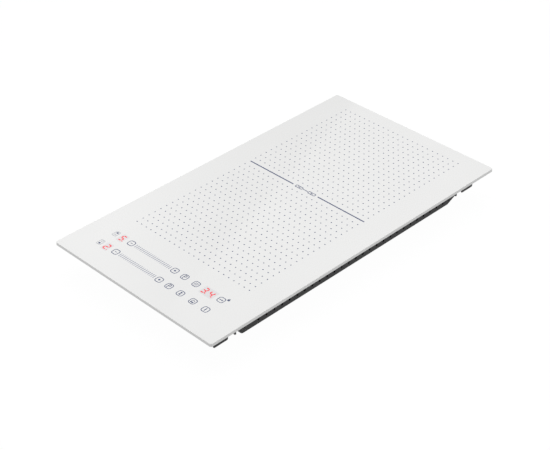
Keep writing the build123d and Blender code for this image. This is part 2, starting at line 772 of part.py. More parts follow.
with BuildPart() as coil_leads:
    for x in lead_rows:
        coil_side = -1 if x < lead_mid_x else 1
        start_y = lead_y + coil_side * COIL_BETWEEN / 2
        lead_z = (wire_low + wire_top) / 2
        with BuildLine():
            FilletPolyline(
                (x, start_y, lead_z),
                (x, lead_y, lead_z),
                (x, lead_y, board_top + TERMINAL_H),
                radius=LEAD_BEND_R,
            )
        with BuildSketch(Plane((x, start_y, lead_z), x_dir=(1, 0, 0), z_dir=(0, -coil_side, 0))):
            Circle(LEAD_R)
        sweep()
coil_leads.part.label = "coil_leads"

# ---------------------------------------------------------------- power board

chip_top = board_top + CHIP_T


def board_form(low, high):
    """The board's outline, wide in front with a tongue beside the blower, between two levels."""
    with BuildPart() as form:
        with BuildSketch(Plane.XY.offset(low)):
            with BuildLine():
                Polyline(
                    (-board_half_w, board_front),
                    (board_half_w, board_front),
                    (board_half_w, board_back),
                    (board_tongue_x, board_back),
                    (board_tongue_x, board_notch_y),
                    (-board_half_w, board_notch_y),
                    close=True,
                )
            make_face()
        extrude(amount=high - low)
    return form.part


with BuildPart() as power_board:
    add(board_form(board_low, board_top))
    with Locations(*[(x, y, board_low) for x, y in board_screw_places]):
        Cylinder(SCREW_R + SCREW_CLEARANCE, BOARD_T, align=LOW, mode=Mode.SUBTRACT)
power_board.part.label = "power_board"

with BuildPart() as board_film:
    add(board_form(well_inside, well_inside + FILM_T))
    with Locations(*[(x, y, well_inside) for x, y in board_screw_places]):
        Cylinder(STANDOFF_R + FILM_T, FILM_T, align=LOW, mode=Mode.SUBTRACT)
board_film.part.label = "board_film"

with BuildPart() as board_standoffs:
    with Locations(*[(x, y, well_inside) for x, y in board_screw_places]):
        Cylinder(STANDOFF_R, STANDOFF_H, align=LOW)
        Cylinder(SCREW_R + SCREW_CLEARANCE, STANDOFF_H, align=LOW, mode=Mode.SUBTRACT)
board_standoffs.part.label = "board_standoffs"

board_screws = screws([(x, y, board_top) for x, y in board_screw_places], BOARD_T + STANDOFF_H)
board_screws.part.label = "board_screws"

rectifier_y = sink_back - RECTIFIER_D / 2
first_chip_y = rectifier_y - RECTIFIER_D / 2 - CHIP_PITCH / 2 - SINK_LEG_W
chip_count = floor((sink_l - RECTIFIER_D - SINK_LEG_W) / CHIP_PITCH)
chip_places = [(sink_x, first_chip_y - n * CHIP_PITCH) for n in range(chip_count)]
power_transistors = bricks(chip_places, CHIP_W, CHIP_D, board_top, chip_top)
power_transistors.part.label = "power_transistors"

bridge_rectifier = bricks([(sink_x, rectifier_y)], RECTIFIER_W, RECTIFIER_D, board_top, chip_top)
bridge_rectifier.part.label = "bridge_rectifier"

with BuildPart() as heatsink:
    with BuildSketch(Plane((sink_x, sink_front, chip_top), x_dir=(1, 0, 0), z_dir=(0, -1, 0))):
        Rectangle(SINK_W, SINK_BASE_T, align=(Align.CENTER, Align.MIN))
        with GridLocations(SINK_W - SINK_LEG_W, 0, 2, 1):
            Rectangle(SINK_LEG_W, CHIP_T, align=(Align.CENTER, Align.MAX))
        with GridLocations((SINK_W - FIN_T) / (FIN_COUNT - 1), 0, FIN_COUNT, 1):
            Rectangle(FIN_T, fin_top - chip_top, align=(Align.CENTER, Align.MIN))
    extrude(amount=-sink_l)
heatsink.part.label = "heatsink"

with BuildPart() as air_duct:
    duct_front = sink_front - DUCT_OVERHANG
    with BuildSketch(Plane((sink_x, duct_front, board_top), x_dir=(1, 0, 0), z_dir=(0, -1, 0))):
        Rectangle(duct_w, part_top - board_top, align=(Align.CENTER, Align.MIN))
        inner_h = part_top - board_top - DUCT_T
        Rectangle(duct_w - 2 * DUCT_T, inner_h, align=(Align.CENTER, Align.MIN), mode=Mode.SUBTRACT)
    extrude(amount=duct_front - board_notch_y)
air_duct.part.label = "air_duct"

# Parts on the open half of the board, in three columns spread over its free width
columns_left = sink_x + duct_w / 2 + PART_GAP
columns_right = board_half_w - PART_GAP
supply_w = SUPPLY_W + 2 * SUPPLY_CORE_LIP
column_gap = (columns_right - columns_left - RESONANT_W - BUS_W - supply_w) / 2
resonant_x = columns_left + RESONANT_W / 2
bus_x = columns_left + RESONANT_W + column_gap + BUS_W / 2
supply_x = columns_right - supply_w / 2
first_part_y = board_front + PARTS_FRONT

resonant_places = [(resonant_x, first_part_y + n * RESONANT_PITCH) for n in range(RESONANT_COUNT)]
resonant_capacitors = bricks(resonant_places, RESONANT_W, RESONANT_D, board_top, board_top + RESONANT_H)
resonant_capacitors.part.label = "resonant_capacitors"

bus_places = [(bus_x, first_part_y + n * BUS_PITCH) for n in range(BUS_COUNT)]
bus_capacitors = bricks(bus_places, BUS_W, BUS_D, board_top, board_top + BUS_H)
bus_capacitors.part.label = "bus_capacitors"


def toroid(centre, radius, hole_r):
    """A wound ring core that lies flat on the board, with rounded shoulders."""
    with BuildPart() as ring:
        with BuildSketch(Plane.XY.offset(board_top)):
            with Locations(centre):
                Circle(radius)
                Circle(hole_r, mode=Mode.SUBTRACT)
        extrude(amount=CHOKE_H)
        fillet(ring.edges().filter_by(GeomType.CIRCLE), CHOKE_ROUND)
    return ring


filter_y = bus_places[-1][1] + BUS_D / 2 + PART_GAP + CHOKE_R
filter_choke = toroid((bus_x, filter_y), CHOKE_R, CHOKE_HOLE_R)
filter_choke.part.label = "filter_choke"

with BuildPart() as supply_transformer:
    with Locations((supply_x, first_part_y, board_top)):
        Box(SUPPLY_W, SUPPLY_D, SUPPLY_H, align=LOW)
        Box(supply_w, SUPPLY_CORE_T, SUPPLY_H - SUPPLY_CORE_LIP, align=LOW)
supply_transformer.part.label = "supply_transformer"

smoothing_y = first_part_y + SUPPLY_D / 2 + PART_GAP + SMOOTHING_R
smoothing_places = [(supply_x, smoothing_y + n * SMOOTHING_PITCH) for n in range(SMOOTHING_COUNT)]
smoothing_capacitors = columns(smoothing_places, SMOOTHING_R, board_top, board_top + SMOOTHING_H)
smoothing_capacitors.part.label = "smoothing_capacitors"

# Mains parts on the tongue, from the plug in the back to the choke in front
fuse_x = board_tongue_x + PART_GAP + FUSE_R
fuse_y = mains_plug_y - PLUG_D / 2 - FUSE_PLUG_GAP - FUSE_L / 2
with BuildPart() as mains_fuse:
    cap_r = FUSE_R + FUSE_CAP_WALL
    with Locations(Plane((fuse_x, fuse_y, board_top + cap_r), x_dir=(1, 0, 0), z_dir=(0, 1, 0))):
        Cylinder(FUSE_R, FUSE_L)
        with Locations((0, 0, (FUSE_L - FUSE_CAP_L) / 2), (0, 0, -(FUSE_L - FUSE_CAP_L) / 2)):
            Cylinder(cap_r, FUSE_CAP_L)
mains_fuse.part.label = "mains_fuse"

varistor_x = fuse_x + FUSE_R + PART_GAP + VARISTOR_R
with BuildPart() as varistor:
    with Locations(Plane((varistor_x, fuse_y, board_top + VARISTOR_R), x_dir=(1, 0, 0), z_dir=(0, 1, 0))):
        Cylinder(VARISTOR_R, VARISTOR_T)
varistor.part.label = "varistor"

mains_choke_x = columns_right - MAINS_CHOKE_R
mains_choke_y = fuse_y - VARISTOR_T / 2 - PART_GAP - MAINS_CHOKE_R
mains_choke = toroid((mains_choke_x, mains_choke_y), MAINS_CHOKE_R, MAINS_CHOKE_HOLE_R)
mains_choke.part.label = "mains_choke"

buzzer_y = resonant_places[-1][1] + RESONANT_D / 2 + PART_GAP + BUZZER_R
buzzer = columns([(resonant_x, buzzer_y)], BUZZER_R, board_top, board_top + BUZZER_H)
buzzer.part.label = "buzzer"

ribbon_y = board_front - 1.5 * BOARD_GAP
socket_front = board_front + RIBBON_T / 2
with BuildPart() as board_sockets:
    with Locations((RIBBON_X, socket_front + SOCKET_D / 2, board_top)):
        Box(RIBBON_W + 2 * RIBBON_T, SOCKET_D, SOCKET_H, align=LOW)
    with Locations((tbox_x, mains_plug_y, board_top)):
        Box(MAINS_LEAD_COUNT * MAINS_LEAD_PITCH, PLUG_D, PLUG_H, align=LOW)
    with Locations((resonant_x, board_notch_y - PART_GAP - SOCKET_D / 2, board_top)):
        Box(PLUG_D, SOCKET_D, SOCKET_H, align=LOW)
board_sockets.part.label = "board_sockets"

coil_terminals = columns(lead_places, TERMINAL_R, board_top, board_top + TERMINAL_H)
coil_terminals.part.label = "coil_terminals"

# ---------------------------------------------------------------- blower


def scroll_outline(skin, outlet):
    """The scroll's plan, grown by a skin: an even spiral that runs out into a straight outlet."""
    turns = [SCROLL_START + SCROLL_TURN * n / 8 for n in range(9)]
    points = [
        ((scroll_radius(turn) + skin) * cos(radians(turn)), (scroll_radius(turn) + skin) * sin(radians(turn)))
        for turn in turns
    ]
    with BuildSketch() as outline:
        with BuildLine():
            Spline(*points)
            Polyline(points[-1], (points[-1][0], -outlet), (points[0][0], -outlet), points[0])
        make_face()
    return outline.sketch


outlet_reach = blower_y - outlet_y
tube_r = SHAFT_R + BEARING_CLEARANCE + BUSH_WALL + TUBE_WALL
bush_r = SHAFT_R + BEARING_CLEARANCE + BUSH_WALL
blower_plane = Plane((blower_x, blower_y, 0))

with BuildPart() as blower_scroll:
    with BuildSketch(blower_plane.offset(well_inside)):
        add(scroll_outline(SCROLL_WALL, outlet_reach))
    extrude(amount=cover_low - well_inside)
    with Locations(*[(x, y, well_inside) for x, y in ear_places]):
        Cylinder(EAR_R, EAR_T, align=LOW)
    with BuildSketch(blower_plane.offset(well_inside + SCROLL_WALL)):
        add(scroll_outline(0, outlet_reach + SCROLL_WALL))
    extrude(amount=cover_low - well_inside - SCROLL_WALL, mode=Mode.SUBTRACT)
    with Locations((blower_x, blower_y, well_inside)):
        Cylinder(inlet_r, SCROLL_WALL, align=LOW, mode=Mode.SUBTRACT)
    with Locations(*[(x, y, well_inside) for x, y in ear_places]):
        Cylinder(SCREW_R + SCREW_CLEARANCE, EAR_T, align=LOW, mode=Mode.SUBTRACT)
blower_scroll.part.label = "blower_scroll"

with BuildPart() as blower_cover:
    with BuildSketch(blower_plane.offset(cover_low)):
        add(scroll_outline(SCROLL_WALL, outlet_reach))
    extrude(amount=SCROLL_WALL)
    with Locations((blower_x, blower_y, cover_low)):
        Cylinder(tube_r, cover_low - tube_low, align=HIGH)
        Cylinder(bush_r, cover_low - tube_low, align=HIGH, mode=Mode.SUBTRACT)
blower_cover.part.label = "blower_cover"

with BuildPart() as bearing_bush:
    with Locations((blower_x, blower_y, tube_low)):
        Cylinder(bush_r, cover_low - tube_low, align=LOW)
        Cylinder(SHAFT_R + BEARING_CLEARANCE, cover_low - tube_low, align=LOW, mode=Mode.SUBTRACT)
bearing_bush.part.label = "bearing_bush"

with BuildPart() as motor_stator:
    with BuildSketch(blower_plane.offset(disc_top - STATOR_H)):
        Circle(STATOR_R)
        with PolarLocations((STATOR_R + tube_r + TUBE_WALL) / 2, 4):
            Rectangle(STATOR_R - tube_r - TUBE_WALL, TUBE_WALL, mode=Mode.SUBTRACT)
        Circle(tube_r, mode=Mode.SUBTRACT)
    extrude(amount=STATOR_H)
motor_stator.part.label = "motor_stator"

blade_mid_r = (blade_root_r + IMPELLER_R) / 2
blade_turn = degrees(BLADE_T / blade_mid_r)

with BuildSketch() as blade_profile:
    with BuildLine():
        root = Vector(blade_root_r, 0)
        middle = Vector(blade_mid_r, 0).rotate(Axis.Z, BLADE_SWEEP / 4)
        tip = Vector(blade_tip_r, 0).rotate(Axis.Z, BLADE_SWEEP)
        ThreePointArc(root, middle, tip)
        Line(tip, tip.rotate(Axis.Z, blade_turn))
        ThreePointArc(*[point.rotate(Axis.Z, blade_turn) for point in (tip, middle, root)])
        Line(root.rotate(Axis.Z, blade_turn), root)
    make_face()

with BuildPart() as blower_impeller:
    with BuildSketch(Plane.XZ.offset(-blower_y)):
        with BuildLine():
            rotor = [
                (SHAFT_R, cup_floor),
                (CUP_R, cup_floor),
                (CUP_R, disc_low),
                (IMPELLER_R, disc_low),
                (IMPELLER_R, disc_top),
                (CUP_R - CUP_WALL, disc_top),
                (CUP_R - CUP_WALL, cup_floor + CUP_WALL),
                (HUB_R, cup_floor + CUP_WALL),
                (HUB_R, cup_floor + CUP_WALL + HUB_H),
                (SHAFT_R, cup_floor + CUP_WALL + HUB_H),
            ]
            Polyline(*[(blower_x + radius, level) for radius, level in rotor], close=True)
        make_face()
    revolve(axis=Axis((blower_x, blower_y, 0), (0, 0, 1)))
    # Forward-curved blades hang from the disc, and a rim ties their lower ends
    with BuildSketch(blower_plane.offset(blade_low)):
        with PolarLocations(0, BLADE_COUNT):
            add(blade_profile.sketch)
    extrude(amount=disc_low - blade_low)
    with BuildSketch(blower_plane.offset(blade_low)):
        Circle(IMPELLER_R)
        Circle(IMPELLER_R - RIM_T, mode=Mode.SUBTRACT)
    extrude(amount=RIM_T)
blower_impeller.part.label = "blower_impeller"

blower_shaft = columns([(blower_x, blower_y)], SHAFT_R, cup_floor, cover_low - BEARING_CLEARANCE)
blower_shaft.part.label = "blower_shaft"

blower_screws = screws([(x, y, well_inside + EAR_T) for x, y in ear_places], EAR_T + SHEET_T / 2)
blower_screws.part.label = "blower_screws"

# ---------------------------------------------------------------- touch controls

ribbon_z = touch_low - RIBBON_DROP
touch_socket_back = touch_y + TOUCH_BOARD_D / 2 - CARRIER_POST_R
post_x = touch_board_w / 2 - 2 * CARRIER_POST_R
post_y = TOUCH_BOARD_D / 2 - 2 * CARRIER_POST_R
foot_back_y = mid_front_top - 2 * CARRIER_POST_R

with BuildPart() as touch_board:
    with Locations((touch_x, touch_y, touch_low)):
        Box(touch_board_w, TOUCH_BOARD_D, BOARD_T, align=LOW)
    with Locations((RIBBON_X, touch_socket_back - SOCKET_D / 2, touch_low)):
        Box(RIBBON_W + 2 * RIBBON_T, SOCKET_D, CARRIER_DEPTH - CARRIER_T - CARRIER_FIT, align=HIGH)
touch_board.part.label = "touch_board"

with BuildPart() as board_carrier:
    with Locations((touch_x, touch_y, carrier_low)):
        Box(carrier_wall_w, carrier_wall_d, touch_top - carrier_low, align=LOW)
    with Locations((touch_x, touch_y, carrier_low + CARRIER_T)):
        inner_w = carrier_wall_w - 2 * CARRIER_T
        inner_d = carrier_wall_d - 2 * CARRIER_T
        Box(inner_w, inner_d, touch_top - carrier_low - CARRIER_T, align=LOW, mode=Mode.SUBTRACT)
    with Locations((touch_x, touch_y, carrier_low)):
        with GridLocations(2 * post_x, 2 * post_y, 2, 2):
            Cylinder(CARRIER_POST_R, touch_low - carrier_low, align=LOW)
    feet_x = (touch_x - post_x, touch_x + post_x)
    with Locations(*[(x, y, carrier_low) for x in feet_x for y in (touch_y - post_y, foot_back_y)]):
        Cylinder(CARRIER_POST_R, carrier_low - end_inside, align=HIGH)
    with Locations((RIBBON_X, carrier_back, carrier_low + CARRIER_T)):
        notch_h = touch_top - carrier_low - CARRIER_T
        Box(RIBBON_W + 4 * RIBBON_T, 4 * CARRIER_T, notch_h, align=LOW, mode=Mode.SUBTRACT)
board_carrier.part.label = "board_carrier"

slider_x = [SLIDER_FIRST_X + n * SLIDER_PITCH for n in range(SLIDER_COUNT)]
with BuildPart() as touch_pads:
    for row_y in touch_rows:
        timer_row = row_y > touch_y
        with Locations(*[(x, row_y, touch_top) for x in BUTTON_X if not timer_row or x != PAN_BUTTON_X]):
            Cylinder(PAD_R, PAD_H, align=LOW)
        with Locations(*[(x, row_y, touch_top) for x in slider_x]):
            Box(SLIDER_PAD, SLIDER_PAD, PAD_H, align=LOW)
touch_pads.part.label = "touch_pads"

with BuildPart() as display_modules:
    with Locations(*[(DIGIT_X, row_y, touch_top) for row_y in touch_rows]):
        Box(DIGIT_W, DIGIT_D, PAD_H - DISPLAY_GAP, align=LOW)
    with Locations((TIMER_X, touch_rows[1], touch_top)):
        Box(TIMER_W, DIGIT_D, PAD_H - DISPLAY_GAP, align=LOW)
display_modules.part.label = "display_modules"

with BuildPart() as control_ribbon:
    ribbon_end_z = board_top + SOCKET_H / 2
    with BuildSketch(Plane.YZ.offset(RIBBON_X - RIBBON_W / 2)):
        with BuildLine() as ribbon_path:
            FilletPolyline(
                (touch_socket_back, ribbon_z),
                (ribbon_y, ribbon_z),
                (ribbon_y, ribbon_end_z),
                (socket_front, ribbon_end_z),
                radius=2 * RIBBON_T,
            )
        trace(ribbon_path.line, RIBBON_T)
    extrude(amount=RIBBON_W)
control_ribbon.part.label = "control_ribbon"

# ---------------------------------------------------------------- mains terminal box

lug_x = TBOX_W / 2 - LUG_INSET
lug_places = [tbox_x - lug_x, tbox_x + lug_x]

with BuildPart() as terminal_box:
    with Locations((tbox_x, tbox_y, tbox_low)):
        Box(TBOX_W, tbox_d, tbox_top - tbox_low, align=LOW)
    with Locations((tbox_x, tbox_y, mid_floor)):
        Box(TBOX_W + 2 * TBOX_RIM, tbox_d + 2 * TBOX_RIM, TBOX_WALL, align=HIGH)
    with Locations((tbox_x, tbox_y, tbox_low)):
        inner_w = TBOX_W - 2 * TBOX_WALL
        inner_d = tbox_d - 2 * TBOX_WALL
        Box(inner_w, inner_d, tbox_ceiling - tbox_low, align=LOW, mode=Mode.SUBTRACT)
    # Two lugs on the front wall hold the cover's hinge pins
    for x in lug_places:
        with BuildSketch(Plane.YZ.offset(x - LUG_T / 2)):
            with Locations((hinge_y, hinge_z)):
                Circle(knuckle_r)
            with BuildLine():
                Polyline(
                    (hinge_y, hinge_z + knuckle_r),
                    (tbox_front, hinge_z + 2 * knuckle_r),
                    (tbox_front, tbox_low),
                    (hinge_y, tbox_low),
                    close=True,
                )
            make_face()
            with Locations((hinge_y, hinge_z)):
                Circle(HINGE_R + BEARING_CLEARANCE, mode=Mode.SUBTRACT)
        extrude(amount=LUG_T)
    with Locations(Plane((tbox_x, tbox_back, grommet_z), x_dir=(1, 0, 0), z_dir=(0, 1, 0))):
        Cylinder(GROMMET_BORE_R + GROMMET_WALL, 4 * TBOX_WALL, mode=Mode.SUBTRACT)
    for x in mains_rows:
        with Locations(Plane((x, tbox_front, mains_z), x_dir=(1, 0, 0), z_dir=(0, 1, 0))):
            Cylinder(MAINS_LEAD_R + TBOX_FIT, 4 * TBOX_WALL, mode=Mode.SUBTRACT)
terminal_box.part.label = "terminal_box"

with BuildPart() as terminal_cover:
    cover_back = tbox_back + TBOX_WALL
    with BuildSketch(Plane.XY.offset(tbox_low)):
        with Locations((tbox_x, (hinge_y + cover_back) / 2)):
            Rectangle(TBOX_W, cover_back - hinge_y)
        for x in lug_places:
            with Locations((x, hinge_y)):
                Rectangle(LUG_T + 2 * LUG_GAP, 2 * (tbox_front - hinge_y + LUG_GAP), mode=Mode.SUBTRACT)
    extrude(amount=-LID_T)
    with Locations(Plane((tbox_x, hinge_y, hinge_z), x_dir=(0, 1, 0), z_dir=(1, 0, 0))):
        Cylinder(knuckle_r, 2 * lug_x - LUG_T - 2 * LUG_GAP)
        Cylinder(HINGE_R, 2 * lug_x + LUG_T)
    with Locations((tbox_x, hinge_y, tbox_low)):
        web_w = 2 * lug_x - LUG_T - 2 * LUG_GAP
        Box(web_w, knuckle_r, hinge_z - tbox_low, align=LOW)
    # Two tongues snap inside the back wall
    tongue_y = tbox_back - TBOX_WALL - TBOX_FIT - TONGUE_T / 2
    with Locations(*[(x, tongue_y, tbox_low) for x in lug_places]):
        Box(TONGUE_W, TONGUE_T, TONGUE_H, align=LOW)
terminal_cover.part.label = "terminal_cover"

with BuildPart() as cable_grommet:
    neck_r = GROMMET_BORE_R + GROMMET_WALL
    flange_r = neck_r + GROMMET_FLANGE
    grommet_y = tbox_back - TBOX_WALL / 2
    flange_mid = (TBOX_WALL + GROMMET_FLANGE_T) / 2
    with Locations(Plane((tbox_x, grommet_y, grommet_z), x_dir=(1, 0, 0), z_dir=(0, 1, 0))):
        Cylinder(neck_r, TBOX_WALL)
        with Locations((0, 0, flange_mid), (0, 0, -flange_mid)):
            Cylinder(flange_r, GROMMET_FLANGE_T)
        Cylinder(GROMMET_BORE_R, TBOX_WALL + 2 * GROMMET_FLANGE_T, mode=Mode.SUBTRACT)
cable_grommet.part.label = "cable_grommet"

pole_places = [(tbox_x + (n - (POLES - 1) / 2) * BLOCK_W / POLES, tbox_y) for n in range(POLES)]
block_low = tbox_ceiling - BLOCK_H
with BuildPart() as terminal_block:
    with Locations((tbox_x, tbox_y, block_low)):
        Box(BLOCK_W, BLOCK_D, BLOCK_H, align=LOW)
    with Locations(*[(x, y, block_low) for x, y in pole_places]):
        Cylinder(POLE_SCREW_R + POLE_GAP, BLOCK_H / 2, align=LOW, mode=Mode.SUBTRACT)
terminal_block.part.label = "terminal_block"

pole_screw_low = block_low + BLOCK_H / 4
terminal_screws = columns(pole_places, POLE_SCREW_R, pole_screw_low, block_low + BLOCK_H / 2)
terminal_screws.part.label = "terminal_screws"

with BuildPart() as mains_leads:
    for x in mains_rows:
        with BuildLine():
            FilletPolyline(
                (x, block_front, mains_z),
                (x, mains_plug_y, mains_z),
                (x, mains_plug_y, board_top + PLUG_H),
                radius=MAINS_BEND_R,
            )
        with BuildSketch(Plane((x, block_front, mains_z), x_dir=(1, 0, 0), z_dir=(0, -1, 0))):
            Circle(MAINS_LEAD_R)
        sweep()
mains_leads.part.label = "mains_leads"

# ---------------------------------------------------------------- export

pieces = [
    glass_panel,
    rim_gasket,
    silicone_bond,
    carrier_frame,
    housing_screws,
    base_tray,
    coil_plate,
    plate_buffers,
    *coil_pieces,
    coil_leads,
    coil_terminals,
    power_board,
    board_film,
    board_standoffs,
    board_screws,
    heatsink,
    power_transistors,
    bridge_rectifier,
    air_duct,
    resonant_capacitors,
    bus_capacitors,
    smoothing_capacitors,
    filter_choke,
    mains_choke,
    supply_transformer,
    mains_fuse,
    varistor,
    buzzer,
    board_sockets,
    blower_scroll,
    blower_cover,
    bearing_bush,
    motor_stator,
    blower_impeller,
    blower_shaft,
    blower_screws,
    touch_board,
    board_carrier,
    touch_pads,
    display_modules,
    control_ribbon,
    terminal_box,
    terminal_cover,
    cable_grommet,
    terminal_block,
    terminal_screws,
    mains_leads,
]
os.makedirs("parts", exist_ok=True)
for piece in pieces:
    export_step(piece.part, f"parts/{piece.part.label}.step")
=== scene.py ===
import json
from math import atan2, cos, pi, radians, sin

import bmesh
import bpy
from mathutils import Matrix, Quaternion, Vector


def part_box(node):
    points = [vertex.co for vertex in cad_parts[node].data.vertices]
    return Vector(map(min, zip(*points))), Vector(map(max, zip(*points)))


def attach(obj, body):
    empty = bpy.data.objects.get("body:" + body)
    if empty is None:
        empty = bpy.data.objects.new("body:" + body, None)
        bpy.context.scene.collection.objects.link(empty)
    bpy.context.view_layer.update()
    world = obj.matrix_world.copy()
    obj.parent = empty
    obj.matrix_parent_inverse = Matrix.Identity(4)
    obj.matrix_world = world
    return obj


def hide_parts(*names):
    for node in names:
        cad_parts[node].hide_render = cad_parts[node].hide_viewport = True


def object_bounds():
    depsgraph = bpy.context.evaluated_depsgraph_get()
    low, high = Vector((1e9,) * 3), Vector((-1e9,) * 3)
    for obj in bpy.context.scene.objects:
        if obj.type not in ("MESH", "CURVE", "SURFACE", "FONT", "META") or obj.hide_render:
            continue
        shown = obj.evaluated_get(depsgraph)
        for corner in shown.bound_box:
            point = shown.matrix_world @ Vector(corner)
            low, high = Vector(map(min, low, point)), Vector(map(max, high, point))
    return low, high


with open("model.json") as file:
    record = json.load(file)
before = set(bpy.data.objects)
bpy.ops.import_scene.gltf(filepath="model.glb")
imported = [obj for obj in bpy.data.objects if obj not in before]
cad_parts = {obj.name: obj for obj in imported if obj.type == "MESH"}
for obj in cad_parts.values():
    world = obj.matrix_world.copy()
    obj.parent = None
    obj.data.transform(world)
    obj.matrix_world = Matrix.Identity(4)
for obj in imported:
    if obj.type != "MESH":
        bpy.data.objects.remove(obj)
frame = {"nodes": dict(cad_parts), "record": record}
cad_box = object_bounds()

bl_info = {
    "name": "Induction Cooktop Finish",
    "version": (1, 0, 0),
    "blender": (4, 5, 0),
    "location": "View3D > Sidebar > Cooktop",
    "description": "Prints, finishes and lights a built-in induction cooktop with two cooking zones",
    "category": "Object",
}

MM = 0.001  # metres in a millimetre
HOUSING = "housing"  # the body that everything made here rides on
INK_ABOVE = 0.02  # top of the print over the glass's face, in millimetres
INK_BELOW = 0.03  # foot of the print under that face, so that no gap shows
WINDOW_ABOVE = 0.008  # top of the display windows, which lie under their lit digits

glass_low, glass_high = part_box("glass_panel")
glass_left = glass_low.x / MM
glass_front = glass_low.y / MM
slot_colour = {entry["slot"]: tuple(entry["base_color"][:3]) for entry in frame["record"]["materials"]}


def number(name, description, default, **options):
    """A plain number."""
    return bpy.props.FloatProperty(name=name, description=description, default=default, **options)


def place(name, description, millimetres, **limits):
    """A place along one axis from the glass's centre line, given here in millimetres."""
    return number(name, description, millimetres * MM, unit="LENGTH", precision=5, **limits)


def length(name, description, millimetres):
    """A length, given here in millimetres."""
    return place(name, description, millimetres, min=0.0)


def angle(name, description, degrees):
    """An angle, given here in degrees."""
    return number(name, description, radians(degrees), subtype="ANGLE")


def copies(name, description, default):
    """A number of copies, at least two."""
    return bpy.props.IntProperty(name=name, description=description, default=default, min=2)


def triple(name, description, values, **options):
    """Three numbers that belong together."""
    return bpy.props.FloatVectorProperty(name=name, description=description, default=values, **options)


def colour(name, description, red, green, blue):
    """A colour in linear light."""
    return triple(name, description, (red, green, blue), subtype="COLOR", min=0.0, max=1.0)


def facing(name, description, x, y, z):
    """A direction in space."""
    return triple(name, description, (x, y, z), subtype="DIRECTION")


# ---------------------------------------------------------------- settings


class COOKTOP_PG_zones(bpy.types.PropertyGroup):
    """Printed field of dots that marks the two cooking zones"""

    margin_side: length("Side margin", "Glass edge to the first column of dots", 39.4)
    margin_front: length("Front margin", "Glass edge to the first row of dots", 101.42)
    pitch_across: length("Pitch across", "Distance between columns of dots", 9.0)
    pitch_back: length("Pitch back", "Distance between rows of dots", 10.124)
    dot_diameter: length("Dot diameter", "Diameter of one printed dot", 1.79)
    columns: copies("Columns", "Columns of dots", 24)
    front_rows: copies("Front rows", "Rows of dots in the front zone", 20)
    rear_rows: copies("Rear rows", "Rows of dots in the rear zone", 19)
    divider_width: length("Divider width", "Thickness of the line between the zones", 1.9)
    divider_gap: length("Divider gap", "Opening in the middle of the dividing line", 44.4)


class COOKTOP_PG_controls(bpy.types.PropertyGroup):
    """Printed touch controls and lit displays along the front of the glass"""

    front_row: length("Front row", "Glass edge to the front row of controls", 39.6)
    row_pitch: length("Row pitch", "Distance between the two rows of controls", 25.4)
    button_size: length("Button size", "Outside width of a button's frame", 10.2)
    button_corner: length("Button corner", "Corner radius of a button's frame", 3.3)
    frame_width: length("Frame width", "Line width of a button's frame", 1.0)
    zone_place: place("Zone symbol", "Place of the zone symbols", -102.3)
    digit_place: place("Level digit", "Place of the power level digits", -89.1)
    minus_place: place("Minus", "Place of the minus buttons", -72.6)
    plus_place: place("Plus", "Place of the plus buttons", 9.3)
    boost_place: place("Boost", "Place of the boost buttons", 27.4)
    mode_place: place("Mode", "Place of the warming and bridging buttons", 47.8)
    pan_place: place("Pan", "Place of the pan button", 69.9)
    timer_place: place("Timer", "Place of the timer display", 71.0)
    power_place: place("Power", "Place of the timer and power buttons", 92.0)
    tick_first: place("First tick", "Place of a slider's first tick", -63.95)
    tick_pitch: length("Tick pitch", "Distance between a slider's ticks", 3.2125)
    tick_count: copies("Ticks", "Ticks of one slider", 21)
    tick_height: length("Tick height", "Length of one slider tick", 6.6)
    tick_width: length("Tick width", "Line width of one slider tick", 0.8)
    digit_width: length("Digit width", "Width of a lit digit", 7.2)
    digit_height: length("Digit height", "Height of a lit digit", 11.4)
    display_drop: length("Display drop", "Displays' centre in front of their row's", 0.7)
    segment_width: length("Segment width", "Width of one lit segment", 1.8)


class COOKTOP_PG_screws(bpy.types.PropertyGroup):
    """Pan-head screws that hold the tray to the frame"""

    head_diameter: length("Head diameter", "Diameter of a screw head", 5.6)
    head_height: length("Head height", "Height of a screw head", 1.8)
    shank_diameter: length("Shank diameter", "Diameter of the thread", 3.0)
    shank_length: length("Shank length", "Length under the head", 6.0)
    setback: length("Setback", "Frame end to the outer side screws", 72.0)
    recess_width: length("Recess width", "Width of one arm of the cross recess", 0.8)
    recess_depth: length("Recess depth", "Depth of the cross recess", 1.1)


class COOKTOP_PG_finishes(bpy.types.PropertyGroup):
    """Colours of the finishes that show"""

    glass: colour("Glass", "White ceramic glass", *slot_colour["white_glass"])
    ink: colour("Ink", "Dark enamel print", 0.045, 0.066, 0.16)
    tick_ink: colour("Tick ink", "Lighter enamel print of the sliders", 0.12, 0.145, 0.25)
    pale_ink: colour("Pale ink", "Light enamel print", 0.33, 0.345, 0.39)
    window: colour("Window", "Display window under the glass", 0.775, 0.775, 0.785)
    lit: colour("Lit segment", "Lit display segment", 0.72, 0.022, 0.03)
    steel: colour("Steel", "Black powder coat", 0.015, 0.015, 0.0155)


